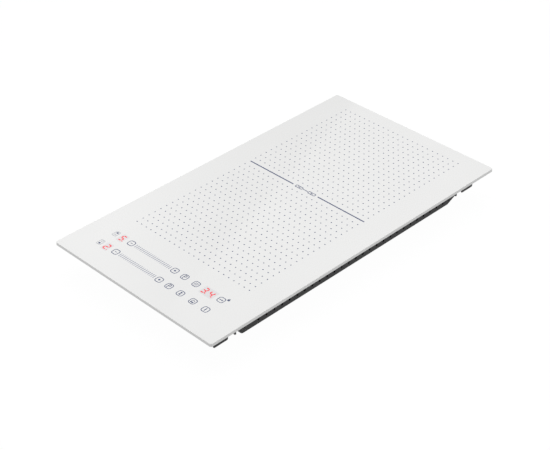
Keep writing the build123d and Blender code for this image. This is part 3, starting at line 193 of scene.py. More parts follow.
class COOKTOP_PG_stage(bpy.types.PropertyGroup):
    """Camera, floor and studio light"""

    azimuth: angle("Azimuth", "Camera's turn round the cooktop", 45.352)
    elevation: angle("Elevation", "Camera's height angle", 34.952)
    roll: angle("Roll", "Camera's turn about its own axis", -0.55)
    distance: length("Distance", "Camera to the point that it looks at", 1796.4)
    aim_across: place("Aim across", "Aimed point to the right of the glass's centre", 27.69)
    aim_back: place("Aim back", "Aimed point behind the glass's centre", -40.70)
    focal: number("Focal length", "Camera lens in millimetres", 92.1)
    floor_size: length("Floor size", "Side of the studio floor", 9000.0)
    floor_gap: length("Floor gap", "Air under the tray", 0.05)
    floor_share: number("Floor share", "Share of the floor's look that glows", 0.96, min=0.0, max=1.0)
    floor_glow: number("Floor glow", "Strength of the floor's glow", 1.02)
    key_size: length("Key size", "Side of the overhead soft light", 1500.0)
    key_height: length("Key height", "Height of the overhead soft light", 1700.0)
    key_forward: place("Key place", "Overhead soft light behind the glass's centre", -60.0)
    key_power: number("Key power", "Overhead soft light in watts", 19.6)
    sky_strength: number("Sky", "Brightness of the studio walls", 0.43)
    ground_strength: number("Ground", "Brightness of the studio's lower half", 0.6)
    wall_edge: facing("Wall edge", "Direction across the edge between the two walls", 0.7836, 0.2612, 0.5637)
    wall_rise: facing("Wall rise", "Direction in which both walls change brightness", 0.7485, 0.6224, 0.2289)


# ---------------------------------------------------------------- outlines and solids

MITRE_LIMIT = 0.5  # keeps a stroke's sharp corners from reaching out too far
MERGE_WITHIN = 1e-5  # corners closer than this become one, in millimetres
ROUND_END = 0.45  # corner radius of a printed bar, as a share of its width


def circle(radius, centre=(0, 0), sides=24):
    """Points round a circle, in millimetres."""
    turns = [2 * pi * n / sides for n in range(sides)]
    return [(centre[0] + radius * cos(turn), centre[1] + radius * sin(turn)) for turn in turns]


def rounded(width, height, corner, centre=(0, 0), steps=6):
    """Points round a rounded rectangle."""
    points = []
    for quarter, (sx, sy) in enumerate(((1, 1), (-1, 1), (-1, -1), (1, -1))):
        x = centre[0] + sx * (width / 2 - corner)
        y = centre[1] + sy * (height / 2 - corner)
        for step in range(steps + 1):
            turn = (quarter + step / steps) * pi / 2
            points.append((x + corner * cos(turn), y + corner * sin(turn)))
    return points


def arc(centre, radius, start, end, steps=12):
    """Points along an arc between two angles in degrees."""
    turns = [radians(start + (end - start) * n / steps) for n in range(steps + 1)]
    return [(centre[0] + radius * cos(turn), centre[1] + radius * sin(turn)) for turn in turns]


def stroke(path, width, cap_steps=5):
    """The outline of a line of even width with round ends along an open path."""
    path = [Vector(point) for point in path]
    left = []
    right = []
    for n, point in enumerate(path):
        before = (point - path[n - 1]).normalized() if n else None
        after = (path[n + 1] - point).normalized() if n + 1 < len(path) else None
        along = ((before or after) + (after or before)).normalized()
        normal = Vector((-along.y, along.x))
        leg = after or before
        reach = width / 2 / max(MITRE_LIMIT, normal.dot(Vector((-leg.y, leg.x))))
        left.append(point + normal * reach)
        right.append(point - normal * reach)
    start = path[1] - path[0]
    end = path[-1] - path[-2]
    front = atan2(end.y, end.x)
    back = atan2(start.y, start.x)
    head = round_end(path[-1], width, front - pi / 2, cap_steps)
    tail = round_end(path[0], width, back + pi / 2, cap_steps)
    return [tuple(point) for point in right[:-1] + head + left[-2:0:-1] + tail + right[:1]]


def round_end(centre, width, first, steps):
    """Points round a stroke's end, from a first angle over half a turn."""
    turns = [first + pi * n / steps for n in range(steps + 1)]
    return [centre + Vector((cos(turn), sin(turn))) * width / 2 for turn in turns]


def prism(bm, outline, low, high, hole=None):
    """Adds a closed flat solid on an outline, which may have a hole with as many points."""
    loops = [outline] if hole is None else [outline, hole]
    rings = [[[bm.verts.new((x, y, z)) for x, y in loop] for z in (low, high)] for loop in loops]
    count = len(outline)
    for side, (bottom, top) in enumerate(rings):
        for n in range(count):
            corners = [bottom[n], bottom[(n + 1) % count], top[(n + 1) % count], top[n]]
            bm.faces.new(corners if side == 0 else corners[::-1])
    if hole is None:
        bm.faces.new(rings[0][1])
        bm.faces.new(rings[0][0][::-1])
        return
    for level in (0, 1):
        outer = rings[0][level]
        inner = rings[1][level]
        for n in range(count):
            corners = [outer[n], outer[(n + 1) % count], inner[(n + 1) % count], inner[n]]
            bm.faces.new(corners if level else corners[::-1])


def printed(name, shapes, finish, above=INK_ABOVE):
    """One piece of print on the glass: flat solids on outlines in millimetres, each with its centre."""
    bm = bmesh.new()
    for outline, hole, (x, y) in shapes:
        outside, inside = (loop and [(px + x, py + y) for px, py in loop] for loop in (outline, hole))
        prism(bm, outside, -INK_BELOW, above, inside)
    return finished(name, bm, finish)


def bake(piece):
    """Keeps what a piece's modifier makes of it as the piece's own mesh."""
    evaluated = piece.evaluated_get(bpy.context.evaluated_depsgraph_get())
    mesh = bpy.data.meshes.new_from_object(evaluated)
    piece.modifiers.clear()
    piece.data = mesh


def finished(name, bm, finish):
    """Turns mesh data in millimetres into a piece with its finish, in the frame's metres."""
    bmesh.ops.remove_doubles(bm, verts=bm.verts, dist=MERGE_WITHIN)
    bmesh.ops.recalc_face_normals(bm, faces=bm.faces)
    bmesh.ops.scale(bm, vec=(MM, MM, MM), verts=bm.verts)
    mesh = bpy.data.meshes.new(name)
    bm.to_mesh(mesh)
    bm.free()
    mesh.materials.append(finish)
    piece = bpy.data.objects.new(name, mesh)
    bpy.context.scene.collection.objects.link(piece)
    return piece


def settle(piece, body=HOUSING, instead_of=()):
    """Puts a finished piece on its body and the solids that it stands for."""
    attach(piece, body)
    if instead_of:
        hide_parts(*instead_of)


def lay_print(name, shapes, finish, above=INK_ABOVE):
    """Prints shapes on the glass as a piece of their own."""
    settle(printed(name, shapes, finish, above))


# ---------------------------------------------------------------- nodes


def feed(tree, node, inputs):
    """Gives each named input of a node its value, or its link from another node."""
    for label, given in inputs.items():
        if isinstance(given, bpy.types.NodeSocket):
            tree.links.new(given, node.inputs[label])
        else:
            node.inputs[label].default_value = given


def add(tree, kind, inputs, **settings):
    """A new node with its settings made and its inputs fed."""
    node = tree.nodes.new(kind)
    for name, value in settings.items():
        setattr(node, name, value)
    feed(tree, node, inputs)
    return node


def mapped(tree, value, span, results):
    """A number mapped in a straight line from one span to another."""
    ends = zip(("From Min", "From Max", "To Min", "To Max"), (*span, *results))
    return add(tree, "ShaderNodeMapRange", {"Value": value, **dict(ends)}).outputs["Result"]


def combined(tree, operation, first, *others):
    """Numbers combined by one operation, from the first to the last."""
    for other in others:
        first = add(tree, "ShaderNodeMath", {0: first, 1: other}, operation=operation).outputs["Value"]
    return first


def mixed(tree, share, first, second):
    """A number between two numbers, with this share of the second."""
    return add(tree, "ShaderNodeMix", {"Factor": share, "A": first, "B": second}).outputs["Result"]


def blended(tree, share, first, second):
    """Two shaders with this share of the second."""
    return add(tree, "ShaderNodeMixShader", {"Fac": share, 1: first, 2: second}).outputs["Shader"]


# ---------------------------------------------------------------- patterns

ROLL_SEED = 4  # fixes how far each screw is rolled about its own axis


def pattern_tree(name, inputs):
    """An empty geometry tree with a motif, a finish and named inputs for its sizes."""
    tree = bpy.data.node_groups.new(name, "GeometryNodeTree")
    for label, kind, default in inputs:
        socket = tree.interface.new_socket(label, in_out="INPUT", socket_type=kind)
        if default is not None:
            socket.default_value = default
    tree.interface.new_socket("Motif", in_out="INPUT", socket_type="NodeSocketObject")
    tree.interface.new_socket("Finish", in_out="INPUT", socket_type="NodeSocketMaterial")
    tree.interface.new_socket("Geometry", in_out="OUTPUT", socket_type="NodeSocketGeometry")
    return tree, tree.nodes.new("NodeGroupInput").outputs


def close_tree(tree, given, points, rotation=None):
    """Puts the motif on the points, makes it real and gives it its finish."""
    motif = add(tree, "GeometryNodeObjectInfo", {"Object": given["Motif"]})
    seats = {"Points": points, "Instance": motif.outputs["Geometry"]}
    if rotation:
        seats["Rotation"] = rotation
    repeat = add(tree, "GeometryNodeInstanceOnPoints", seats)
    real = add(tree, "GeometryNodeRealizeInstances", {"Geometry": repeat.outputs["Instances"]})
    dressed = {"Geometry": real.outputs["Geometry"], "Material": given["Finish"]}
    finish = add(tree, "GeometryNodeSetMaterial", dressed)
    add(tree, "NodeGroupOutput", {"Geometry": finish.outputs["Geometry"]})
    return tree


def offset_points(tree, geometry, centre):
    """A pattern's points, moved to the pattern's centre."""
    move = add(tree, "GeometryNodeTransform", {"Geometry": geometry, "Translation": centre})
    return move.outputs["Geometry"]


def grid_tree():
    """Motifs on a rectangular grid round a centre."""
    inputs = (
        ("Width", "NodeSocketFloat", 0.2),
        ("Depth", "NodeSocketFloat", 0.2),
        ("Columns", "NodeSocketInt", 2),
        ("Rows", "NodeSocketInt", 2),
        ("Centre", "NodeSocketVector", None),
    )
    tree, given = pattern_tree("dot_grid", inputs)
    sizes = {"Size X": "Width", "Size Y": "Depth", "Vertices X": "Columns", "Vertices Y": "Rows"}
    grid = add(tree, "GeometryNodeMeshGrid", {socket: given[label] for socket, label in sizes.items()})
    return close_tree(tree, given, offset_points(tree, grid.outputs["Mesh"], given["Centre"]))


def row_tree():
    """Motifs in a straight row from a first place."""
    inputs = (
        ("Count", "NodeSocketInt", 2),
        ("Step", "NodeSocketVector", None),
        ("Centre", "NodeSocketVector", None),
    )
    tree, given = pattern_tree("tick_row", inputs)
    row = add(tree, "GeometryNodeMeshLine", {"Count": given["Count"], "Offset": given["Step"]})
    return close_tree(tree, given, offset_points(tree, row.outputs["Mesh"], given["Centre"]))


def seat_tree():
    """Motifs on the carrier's points, each turned out along its point's normal and rolled a little."""
    inputs = (("Geometry", "NodeSocketGeometry", None), ("Seed", "NodeSocketInt", ROLL_SEED))
    tree, given = pattern_tree("screw_seats", inputs)
    outward = add(tree, "GeometryNodeInputNamedAttribute", {"Name": "outward"}, data_type="FLOAT_VECTOR")
    normal = {"Vector": outward.outputs["Attribute"]}
    turn = add(tree, "FunctionNodeAlignRotationToVector", normal, axis="Z")
    span = {"Max": pi / 2, "Seed": given["Seed"]}
    roll = add(tree, "FunctionNodeRandomValue", span, data_type="FLOAT")
    roll_turn = add(tree, "FunctionNodeAxisAngleToRotation", {"Angle": roll.outputs["Value"]})
    turns = {"Rotation": turn.outputs["Rotation"], "Rotate By": roll_turn.outputs["Rotation"]}
    both = add(tree, "FunctionNodeRotateRotation", turns, rotation_space="LOCAL")
    return close_tree(tree, given, given["Geometry"], both.outputs["Rotation"])


def repeated(name, tree, motif, finish, values, carrier_mesh=None):
    """Runs a pattern once and keeps its result as a plain piece; the motif is used up."""
    piece = bpy.data.objects.new(name, carrier_mesh or bpy.data.meshes.new(name))
    bpy.context.scene.collection.objects.link(piece)
    modifier = piece.modifiers.new("pattern", "NODES")
    modifier.node_group = tree
    values = {**values, "Motif": motif, "Finish": finish}
    for item in tree.interface.items_tree:
        if item.in_out == "INPUT" and item.name in values:
            modifier[item.identifier] = values[item.name]
    bake(piece)
    piece.data.name = name
    bpy.data.objects.remove(motif)
    return piece


# ---------------------------------------------------------------- finishes

GLASS_IOR = 1.52  # how strongly glass bends light


def new_finish(name, base, roughness, metallic=0.0):
    """A node material on object coordinates: the material, its tree, its shader and the coordinates."""
    finish = bpy.data.materials.new(name)
    finish.use_nodes = True
    tree = finish.node_tree
    shader = tree.nodes["Principled BSDF"]
    feed(tree, shader, {"Base Color": (*base, 1), "Roughness": roughness, "Metallic": metallic})
    coords = tree.nodes.new("ShaderNodeTexCoord")
    return finish, tree, shader, coords.outputs["Object"]


def stretched(tree, coords, scale):
    """Coordinates scaled by a different amount along each axis."""
    return add(tree, "ShaderNodeMapping", {"Vector": coords, "Scale": scale}).outputs["Vector"]


def cloud(tree, coords, size_mm, detail=3.0):
    """Soft random variation with features of about this size."""
    given = {"Vector": coords, "Scale": 1 / (size_mm * MM), "Detail": detail}
    return add(tree, "ShaderNodeTexNoise", given).outputs["Fac"]


def cells(tree, coords, size_mm):
    """Distance from the middles of random cells of about this size."""
    given = {"Vector": coords, "Scale": 1 / (size_mm * MM)}
    return add(tree, "ShaderNodeTexVoronoi", given).outputs["Distance"]


def slanting_bands(tree, coords, size_mm, distortion):
    """Ridges that run aslant and waver a little."""
    given = {"Vector": coords, "Scale": 1 / (size_mm * MM) / 3, "Distortion": distortion}
    return add(tree, "ShaderNodeTexWave", given, bands_direction="DIAGONAL").outputs["Fac"]


def vary_roughness(tree, shader, factor, low, high):
    """Roughness that follows a pattern between two values."""
    feed(tree, shader, {"Roughness": mapped(tree, factor, (0, 1), (low, high))})


def vary_colour(tree, shader, factor, base, spread, low=0.35, high=0.65):
    """A base colour that a pattern darkens and lightens by a share."""
    ramp = add(tree, "ShaderNodeValToRGB", {"Fac": factor})
    for end, position, share in zip(ramp.color_ramp.elements, (low, high), (1 - spread, 1 + spread)):
        end.position = position
        end.color = (*[min(1, value * share) for value in base], 1)
    feed(tree, shader, {"Base Color": ramp.outputs["Color"]})


def relief(tree, shader, height, depth_mm, strength, under=None):
    """A bump of this depth, laid over another bump if one is given."""
    given = {"Height": height, "Distance": depth_mm * MM, "Strength": strength}
    if under:
        given["Normal"] = under
    normal = add(tree, "ShaderNodeBump", given).outputs["Normal"]
    feed(tree, shader, {"Normal": normal})
    return normal


def white_glass(base):
    """Back-painted white ceramic glass: glossy, with faint wipe marks and a barely uneven face."""
    finish, tree, shader, coords = new_finish("white_ceramic_glass", base, 0.04)
    feed(tree, shader, {"IOR": GLASS_IOR})
    wipes = cloud(tree, stretched(tree, coords, (1.0, 0.35, 1.0)), 60, 4)
    vary_colour(tree, shader, cloud(tree, coords, 90, 2), base, 0.006)
    vary_roughness(tree, shader, wipes, 0.02, 0.06)
    relief(tree, shader, cloud(tree, coords, 45, 2), 0.004, 0.5)
    return finish


def enamel_ink(name, base):
    """Screen-printed enamel, a little matt, with fine speckle and uneven cover."""
    finish, tree, shader, coords = new_finish(name, base, 0.35)
    vary_colour(tree, shader, cloud(tree, coords, 0.6, 4), base, 0.18)
    vary_roughness(tree, shader, cloud(tree, coords, 1.5), 0.28, 0.46)
    relief(tree, shader, cloud(tree, coords, 0.3), 0.01, 0.6)
    return finish


def display_window(base):
    """Thinner paint over a display, under the same polished glass, with a faint diffusing grain."""
    finish, tree, shader, coords = new_finish("display_window", base, 0.09)
    feed(tree, shader, {"IOR": GLASS_IOR})
    vary_colour(tree, shader, cloud(tree, coords, 0.5, 2), base, 0.02)
    vary_roughness(tree, shader, cloud(tree, coords, 8), 0.06, 0.12)
    return finish


def lit_segment(base):
    """A lit segment behind the glass, with a soft uneven glow."""
    finish, tree, shader, coords = new_finish("lit_segment", base, 0.2)
    feed(tree, shader, {"Emission Color": (*base, 1), "Emission Strength": 0.35})
    paler = (base[0], base[1] * 2.2, base[2] * 2.2)
    vary_colour(tree, shader, cloud(tree, coords, 1.2, 2), paler, 0.12)
    vary_roughness(tree, shader, cloud(tree, coords, 2), 0.15, 0.25)
    return finish


def powder_coat(base):
    """Black powder coat: fine orange peel, slightly uneven sheen and a trace of dust."""
    finish, tree, shader, coords = new_finish("black_powder_coat", base, 0.55)
    feed(tree, shader, {"Specular IOR Level": 0.4})
    vary_colour(tree, shader, cloud(tree, coords, 14, 5), base, 0.16, 0.3, 0.75)
    vary_roughness(tree, shader, cloud(tree, coords, 20, 4), 0.48, 0.66)
    peel = relief(tree, shader, cloud(tree, coords, 0.9, 2), 0.05, 0.7)
    relief(tree, shader, cells(tree, coords, 0.35), 0.02, 0.35, peel)
    return finish


def bright_metal(name, base, roughness, grain, grain_mm):
    """Bare or plated metal with drawn or turned grain and small shifts in tone."""
    finish, tree, shader, coords = new_finish(name, base, roughness, metallic=1.0)
    lines = cloud(tree, stretched(tree, coords, grain), grain_mm, 5)
    vary_colour(tree, shader, cloud(tree, coords, 6), base, 0.08)
    vary_roughness(tree, shader, lines, roughness * 0.75, roughness * 1.35)
    relief(tree, shader, lines, 0.01, 0.6)
    return finish


def moulded(name, base):
    """Moulded plastic with a fine spark-eroded grain and faint flow in its tone."""
    finish, tree, shader, coords = new_finish(name, base, 0.5)
    vary_colour(tree, shader, cloud(tree, coords, 18, 4), base, 0.09)
    vary_roughness(tree, shader, cloud(tree, coords, 5), 0.425, 0.6)
    relief(tree, shader, cloud(tree, coords, 0.5, 4), 0.03, 0.6)
    return finish


def soft_rubber(name, base):
    """Cast rubber or silicone with a dull bloom."""
    finish, tree, shader, coords = new_finish(name, base, 0.62)
    vary_colour(tree, shader, cloud(tree, coords, 9, 5), base, 0.12)
    vary_roughness(tree, shader, cloud(tree, coords, 4, 4), 0.52, 0.78)
    relief(tree, shader, cloud(tree, coords, 0.8), 0.04, 0.5)
    return finish


def cell_foam(name, base):
    """Closed-cell foam with open pores on its cut faces."""
    finish, tree, shader, coords = new_finish(name, base, 0.9)
    pores = cells(tree, coords, 0.7)
    vary_colour(tree, shader, pores, base, 0.35, 0.05, 0.55)
    vary_roughness(tree, shader, cloud(tree, coords, 3), 0.82, 0.97)
    relief(tree, shader, pores, 0.2, 0.8)
    return finish


def fibre_sheet(name, base):
    """Pressed mica and fibre sheet with long felted strands."""
    finish, tree, shader, coords = new_finish(name, base, 0.85)
    strands = cloud(tree, stretched(tree, coords, (1.0, 7.0, 1.0)), 5, 8)
    vary_colour(tree, shader, strands, base, 0.1)
    vary_roughness(tree, shader, strands, 0.75, 0.95)
    relief(tree, shader, strands, 0.12, 0.7)
    return finish


def litz_wire(name, base):
    """Enamelled copper strands, twisted and varnished."""
    finish, tree, shader, coords = new_finish(name, base, 0.32, metallic=0.85)
    strands = slanting_bands(tree, stretched(tree, coords, (1.0, 0.8, 0.6)), 0.9, 3.0)
    vary_colour(tree, shader, strands, base, 0.3, 0.2, 0.8)
    vary_roughness(tree, shader, cloud(tree, coords, 4), 0.25, 0.45)
    relief(tree, shader, strands, 0.15, 0.8)
    return finish


def sintered(name, base):
    """Pressed and fired ceramic with fine grit and chipped tone."""
    finish, tree, shader, coords = new_finish(name, base, 0.6)
    vary_colour(tree, shader, cloud(tree, coords, 2.5, 6), base, 0.2)
    vary_roughness(tree, shader, cloud(tree, coords, 1.2), 0.48, 0.72)
    relief(tree, shader, cells(tree, coords, 0.4), 0.03, 0.6)
    return finish


def board_laminate(name, base):
    """Green solder mask over copper runs, which show as lighter raised tracks."""
    finish, tree, shader, coords = new_finish(name, base, 0.3)
    given = {"Vector": coords, "Scale": 90, "Mortar Size": 0.03}
    for label, share in {"Color1": 1.0, "Color2": 0.8, "Mortar": 1.7}.items():
        given[label] = (*[value * share for value in base], 1)
    tracks = add(tree, "ShaderNodeTexBrick", given)
    feed(tree, shader, {"Base Color": tracks.outputs["Color"]})
    vary_roughness(tree, shader, cloud(tree, coords, 6), 0.24, 0.4)
    relief(tree, shader, tracks.outputs["Fac"], 0.035, 0.8)
    return finish


SHOWN_SLOTS = {
    "foam_seal": cell_foam,
    "silicone": soft_rubber,
    "black_plastic": moulded,
    "grommet_rubber": soft_rubber,
}
COIL_SLOTS = {
    "buffer_rubber": soft_rubber,
    "insulation_fibre": fibre_sheet,
    "copper_litz": litz_wire,
    "former_plastic": moulded,
    "ferrite": sintered,
    "sensor_silicone": soft_rubber,
    "lead_jacket": soft_rubber,
}
BOARD_SLOTS = {
    "board_laminate": board_laminate,
    "insulating_film": moulded,
    "chip_epoxy": moulded,
    "capacitor_case": moulded,
    "capacitor_can": moulded,
    "transformer_core": sintered,
    "fuse_ceramic": sintered,
    "varistor_epoxy": moulded,
    "socket_plastic": moulded,
    "carrier_plastic": moulded,
    "pad_foam": cell_foam,
    "display_plastic": moulded,
    "ribbon_jacket": moulded,
    "block_plastic": moulded,
    "impeller_plastic": moulded,
}
# For each metal: the share of its recorded colour that it keeps, its roughness,
# how its grain is stretched along each axis and the grain's size in millimetres
METAL_SLOTS = {
    "zinc_screw": (0.45, 0.32, (1, 1, 1), 0.5),
    "aluminium_sheet": (1.0, 0.38, (0.15, 6, 1), 0.8),
    "terminal_brass": (1.0, 0.25, (1, 1, 1), 0.5),
    "standoff_brass": (1.0, 0.28, (1, 1, 8), 0.4),
    "heatsink_aluminium": (1.0, 0.42, (6, 0.15, 6), 0.5),
    "motor_steel": (1.0, 0.45, (1, 1, 12), 0.4),
    "shaft_steel": (1.0, 0.22, (1, 1, 10), 0.3),
}


def slot_metal(name, slot):
    """The finish of a metal slot, from its recorded colour."""
    kept, *look = METAL_SLOTS[slot]
    return bright_metal(name, [kept * value for value in slot_colour[slot]], *look)


def dress(finishes):
    """Gives every solid of the frame whose slot is named here its finish."""
    for solid in frame["nodes"].values():
        for holder in solid.material_slots:
            slot = holder.name.split(".")[0]
            if slot in finishes:
                holder.material = finishes[slot]


def dress_plain(slots):
    """Makes one finish for each slot from its maker and its recorded colour, and puts them on."""
    dress({slot: maker(f"{slot}_finish", slot_colour[slot]) for slot, maker in slots.items()})


# ---------------------------------------------------------------- symbols

# All in millimetres, from the middle of a symbol's button, digit or gap
THIN = 0.6  # width of a thin line
BOLD = 1.0  # width of a bold one
DIGIT_LEAN = 0.13  # how far a lit digit steps to the right for each step up
SEGMENT_GAP = 0.22  # from a segment's tip to the corner where two of them meet
POINT_SIZE = 0.42  # radius of a decimal point, as a share of a segment's width
POINT_GAP = 0.75  # from a digit to the middle of its decimal point
LOCK_OFFSET = (6.8, 6.2)  # the padlock from the middle of its button


def line(*path, width=BOLD):
    """One stroke of a symbol."""
    return stroke(path, width), None


def ring(radius, width, centre=(0, 0)):
    """A circle drawn as a line."""
    return circle(radius + width / 2, centre), circle(radius - width / 2, centre)


def disc(radius, centre=(0, 0)):
    """A filled circle."""
    return circle(radius, centre), None


def minus_symbol():
    """A short bar."""
    return [(rounded(3.3, BOLD, 0.3), None)]


def plus_symbol():
    """A bar with a short arm above and below it, so that nothing is printed twice."""
    arms = [(rounded(1.4, 1.0, 0.3, (0, side * 1.15)), None) for side in (-1, 1)]
    return [(rounded(3.3, 1.4, 0.3), None)] + arms


def boost_symbol():
    """A plain letter with a straight stem and a round bowl."""
    bowl = [(-1.3, 3.0), *arc((0.1, 1.45), 1.55, 90, -90), (-1.3, -0.1)]
    return [line((-1.3, -3.0), (-1.3, 3.0)), line(*bowl)]


def warm_symbol():
    """Three waves of rising heat."""
    waves = []
    for x in (-1.9, 0, 1.9):
        path = [(x + 0.45 * sin(pi * y / 2.2), y) for y in [-2.4 + 0.4 * n for n in range(13)]]
        waves.append(line(*path, width=THIN))
    return waves


def bridge_symbol():
    """Two zones, one behind the other, joined by a bar."""
    return [
        (rounded(2.8, 2.3, 0.8, (0, 1.75)), None),
        (rounded(2.8, 2.3, 0.8, (0, -1.75)), None),
        (rounded(0.7, 1.6, 0.1), None),
    ]


def pan_symbol():
    """A lidded pan over a heating zone."""
    lid = arc((0, -0.4), 2.4, 12, 168)
    return [
        line(*lid, width=0.8),
        (rounded(2.3, 2.2, 0.8, (-1.3, -1.8)), None),
        (rounded(2.3, 2.2, 0.8, (1.3, -1.8)), None),
    ]


def key_symbol():
    """A small key lying flat, with its bow to the right."""
    return [
        ring(0.85, 0.8, (1.5, 0)),
        line((0.0, 0), (-2.4, 0), width=0.9),
        (rounded(0.8, 0.9, 0.2, (-1.7, -0.95)), None),
    ]


def power_symbol():
    """An upright stroke."""
    return [line((0, -2.3), (0, 2.3), width=1.4)]


def lock_symbol():
    """A closed padlock."""
    shackle = [(-0.85, 0.5), (-0.85, 1.0), *arc((0, 1.0), 0.85, 180, 0)[1:-1], (0.85, 1.0), (0.85, 0.5)]
    return [(rounded(3.4, 2.7, 0.5, (0, -0.7)), None), line(*shackle, width=THIN)]


def zone_frame():
    """The outline of the hob that holds a zone symbol."""
    return [(rounded(7.2, 10.4, 1.2), rounded(6.0, 9.2, 0.6))]


def idle_zone(end):
    """The ring of the zone that a slider leaves alone, at the frame's rear (1) or front (-1)."""
    return [ring(1.3, 0.5, (0, 2.5 * end))]


def chosen_zone(end):
    """The disc of the zone that a slider heats, at the frame's rear (1) or front (-1)."""
    return [disc(1.6, (0, 2.1 * end))]


def linked_symbol():
    """Two zones side by side, each round a short bar, and a longer bar that joins them."""
    zones = []
    for x in (-11.5, 11.5):
        zones.append((rounded(13.0, 5.2, 1.6, (x, 0)), rounded(10.8, 3.0, 0.6, (x, 0))))
        zones.append((rounded(4.0, 1.2, 0.5, (x, 0)), None))
    return [*zones, (rounded(8.4, 1.2, 0.4), None)]


def seven_segments(text, width, height, thick):
    """Outlines of the lit segments of one digit."""
    lit = {"2": "abged", "3": "abgcd", "4": "fgbc", "5": "afgcd"}[text]
    x = width / 2 - thick / 2
    y = height / 2 - thick / 2
    ends = {
        "a": ((-x, y), (x, y)),
        "b": ((x, y), (x, 0)),
        "c": ((x, 0), (x, -y)),
        "d": ((-x, -y), (x, -y)),
        "e": ((-x, 0), (-x, -y)),
        "f": ((-x, y), (-x, 0)),
        "g": ((-x, 0), (x, 0)),
    }
    shapes = []
    for name in lit:
        start, end = (Vector(point) for point in ends[name])
        along = (end - start).normalized()
        across = Vector((-along.y, along.x)) * thick / 2
        tip = along * SEGMENT_GAP
        shoulder = along * (SEGMENT_GAP + thick / 2)
        corners = [
            start + tip,
            start + shoulder - across,
            end - shoulder - across,
            end - tip,
            end - shoulder + across,
            start + shoulder + across,
        ]
        shapes.append(([(corner.x + DIGIT_LEAN * corner.y, corner.y) for corner in corners], None))
    return shapes


def moved(shapes, centre):
    """Shapes with the centre that they are printed round."""
    return [(outline, hole, centre) for outline, hole in shapes]


# ---------------------------------------------------------------- operators


class COOKTOP_OT_glass(bpy.types.Operator):
    """Give the glass panel its white ceramic finish"""

    bl_idname = "cooktop.glass"
    bl_label = "Finish the Glass"

    def execute(self, context):
        dress({"white_glass": white_glass(context.scene.cooktop_finishes.glass)})
        return {"FINISHED"}


class COOKTOP_OT_zones(bpy.types.Operator):
    """Print the dots of both cooking zones, the line between them and the symbol in the line's gap"""

    bl_idname = "cooktop.zones"
    bl_label = "Print the Zones"

    def execute(self, context):
        zones = context.scene.cooktop_zones
        ink = enamel_ink("zone_ink", context.scene.cooktop_finishes.ink)
        across = zones.pitch_across / MM
        back = zones.pitch_back / MM
        left = glass_left + zones.margin_side / MM
        first = glass_front + zones.margin_front / MM
        width = across * (zones.columns - 1)
        tree = grid_tree()
        fields = {"front": (0, zones.front_rows), "rear": (zones.front_rows + 1, zones.rear_rows)}
        for end, (start, rows) in fields.items():
            depth = back * (rows - 1)
            motif = printed("dot", moved([disc(zones.dot_diameter / MM / 2)], (0, 0)), ink)
            values = {
                "Width": width * MM,
                "Depth": depth * MM,
                "Columns": zones.columns,
                "Rows": rows,
                "Centre": ((left + width / 2) * MM, (first + start * back + depth / 2) * MM, 0),
            }
            settle(repeated(f"zone_dots_{end}", tree, motif, ink, values))
        half_gap = zones.divider_gap / MM / 2
        thick = zones.divider_width / MM
        line_y = first + zones.front_rows * back
        run = -half_gap - left
        bar = rounded(run, thick, thick * ROUND_END)
        sides = [(bar, None, (side * (half_gap + run / 2), line_y)) for side in (-1, 1)]
        lay_print("zone_divider", sides, ink)
        lay_print("linked_zones_symbol", moved(linked_symbol(), (0, line_y)), ink)
        return {"FINISHED"}


class COOKTOP_OT_buttons(bpy.types.Operator):
    """Print the buttons' frames and symbols, and the zone symbols beside them"""

    bl_idname = "cooktop.buttons"
    bl_label = "Print the Buttons"

    def execute(self, context):
        controls = context.scene.cooktop_controls
        finishes = context.scene.cooktop_finishes
        ink = enamel_ink("button_ink", finishes.ink)
        pale = enamel_ink("pale_ink", finishes.pale_ink)
        front = glass_front + controls.front_row / MM
        rear = front + controls.row_pitch / MM
        minus = controls.minus_place / MM
        plus = controls.plus_place / MM
        boost = controls.boost_place / MM
        mode = controls.mode_place / MM
        power = controls.power_place / MM
        symbols = {
            (minus, front): minus_symbol(),
            (minus, rear): minus_symbol(),
            (plus, front): plus_symbol(),
            (plus, rear): plus_symbol(),
            (boost, front): boost_symbol(),
            (boost, rear): boost_symbol(),
            (mode, rear): warm_symbol(),
            (mode, front): bridge_symbol(),
            (power, rear): key_symbol(),
            (controls.pan_place / MM, front): pan_symbol(),
            (power, front): power_symbol(),
        }
        size = controls.button_size / MM
        corner = controls.button_corner / MM
        thick = controls.frame_width / MM
        inner = size - 2 * thick
        frame_shape = [(rounded(size, size, corner), rounded(inner, inner, corner - thick))]
        frames = [shape for centre in symbols for shape in moved(frame_shape, centre)]
        lay_print("button_frames", frames, ink)
        marks = [shape for centre, symbol in symbols.items() for shape in moved(symbol, centre)]
        marks += moved(lock_symbol(), (power + LOCK_OFFSET[0], rear + LOCK_OFFSET[1]))
        lay_print("button_symbols", marks, ink)
        zone = controls.zone_place / MM
        plates = [shape for y in (front, rear) for shape in moved(zone_frame(), (zone, y))]
        chosen = []
        for y, end in ((rear, 1), (front, -1)):
            plates += moved(idle_zone(-end), (zone, y))
            chosen += moved(chosen_zone(end), (zone, y))
        lay_print("zone_frames", plates, pale)
        lay_print("zone_marks", chosen, ink)
        return {"FINISHED"}


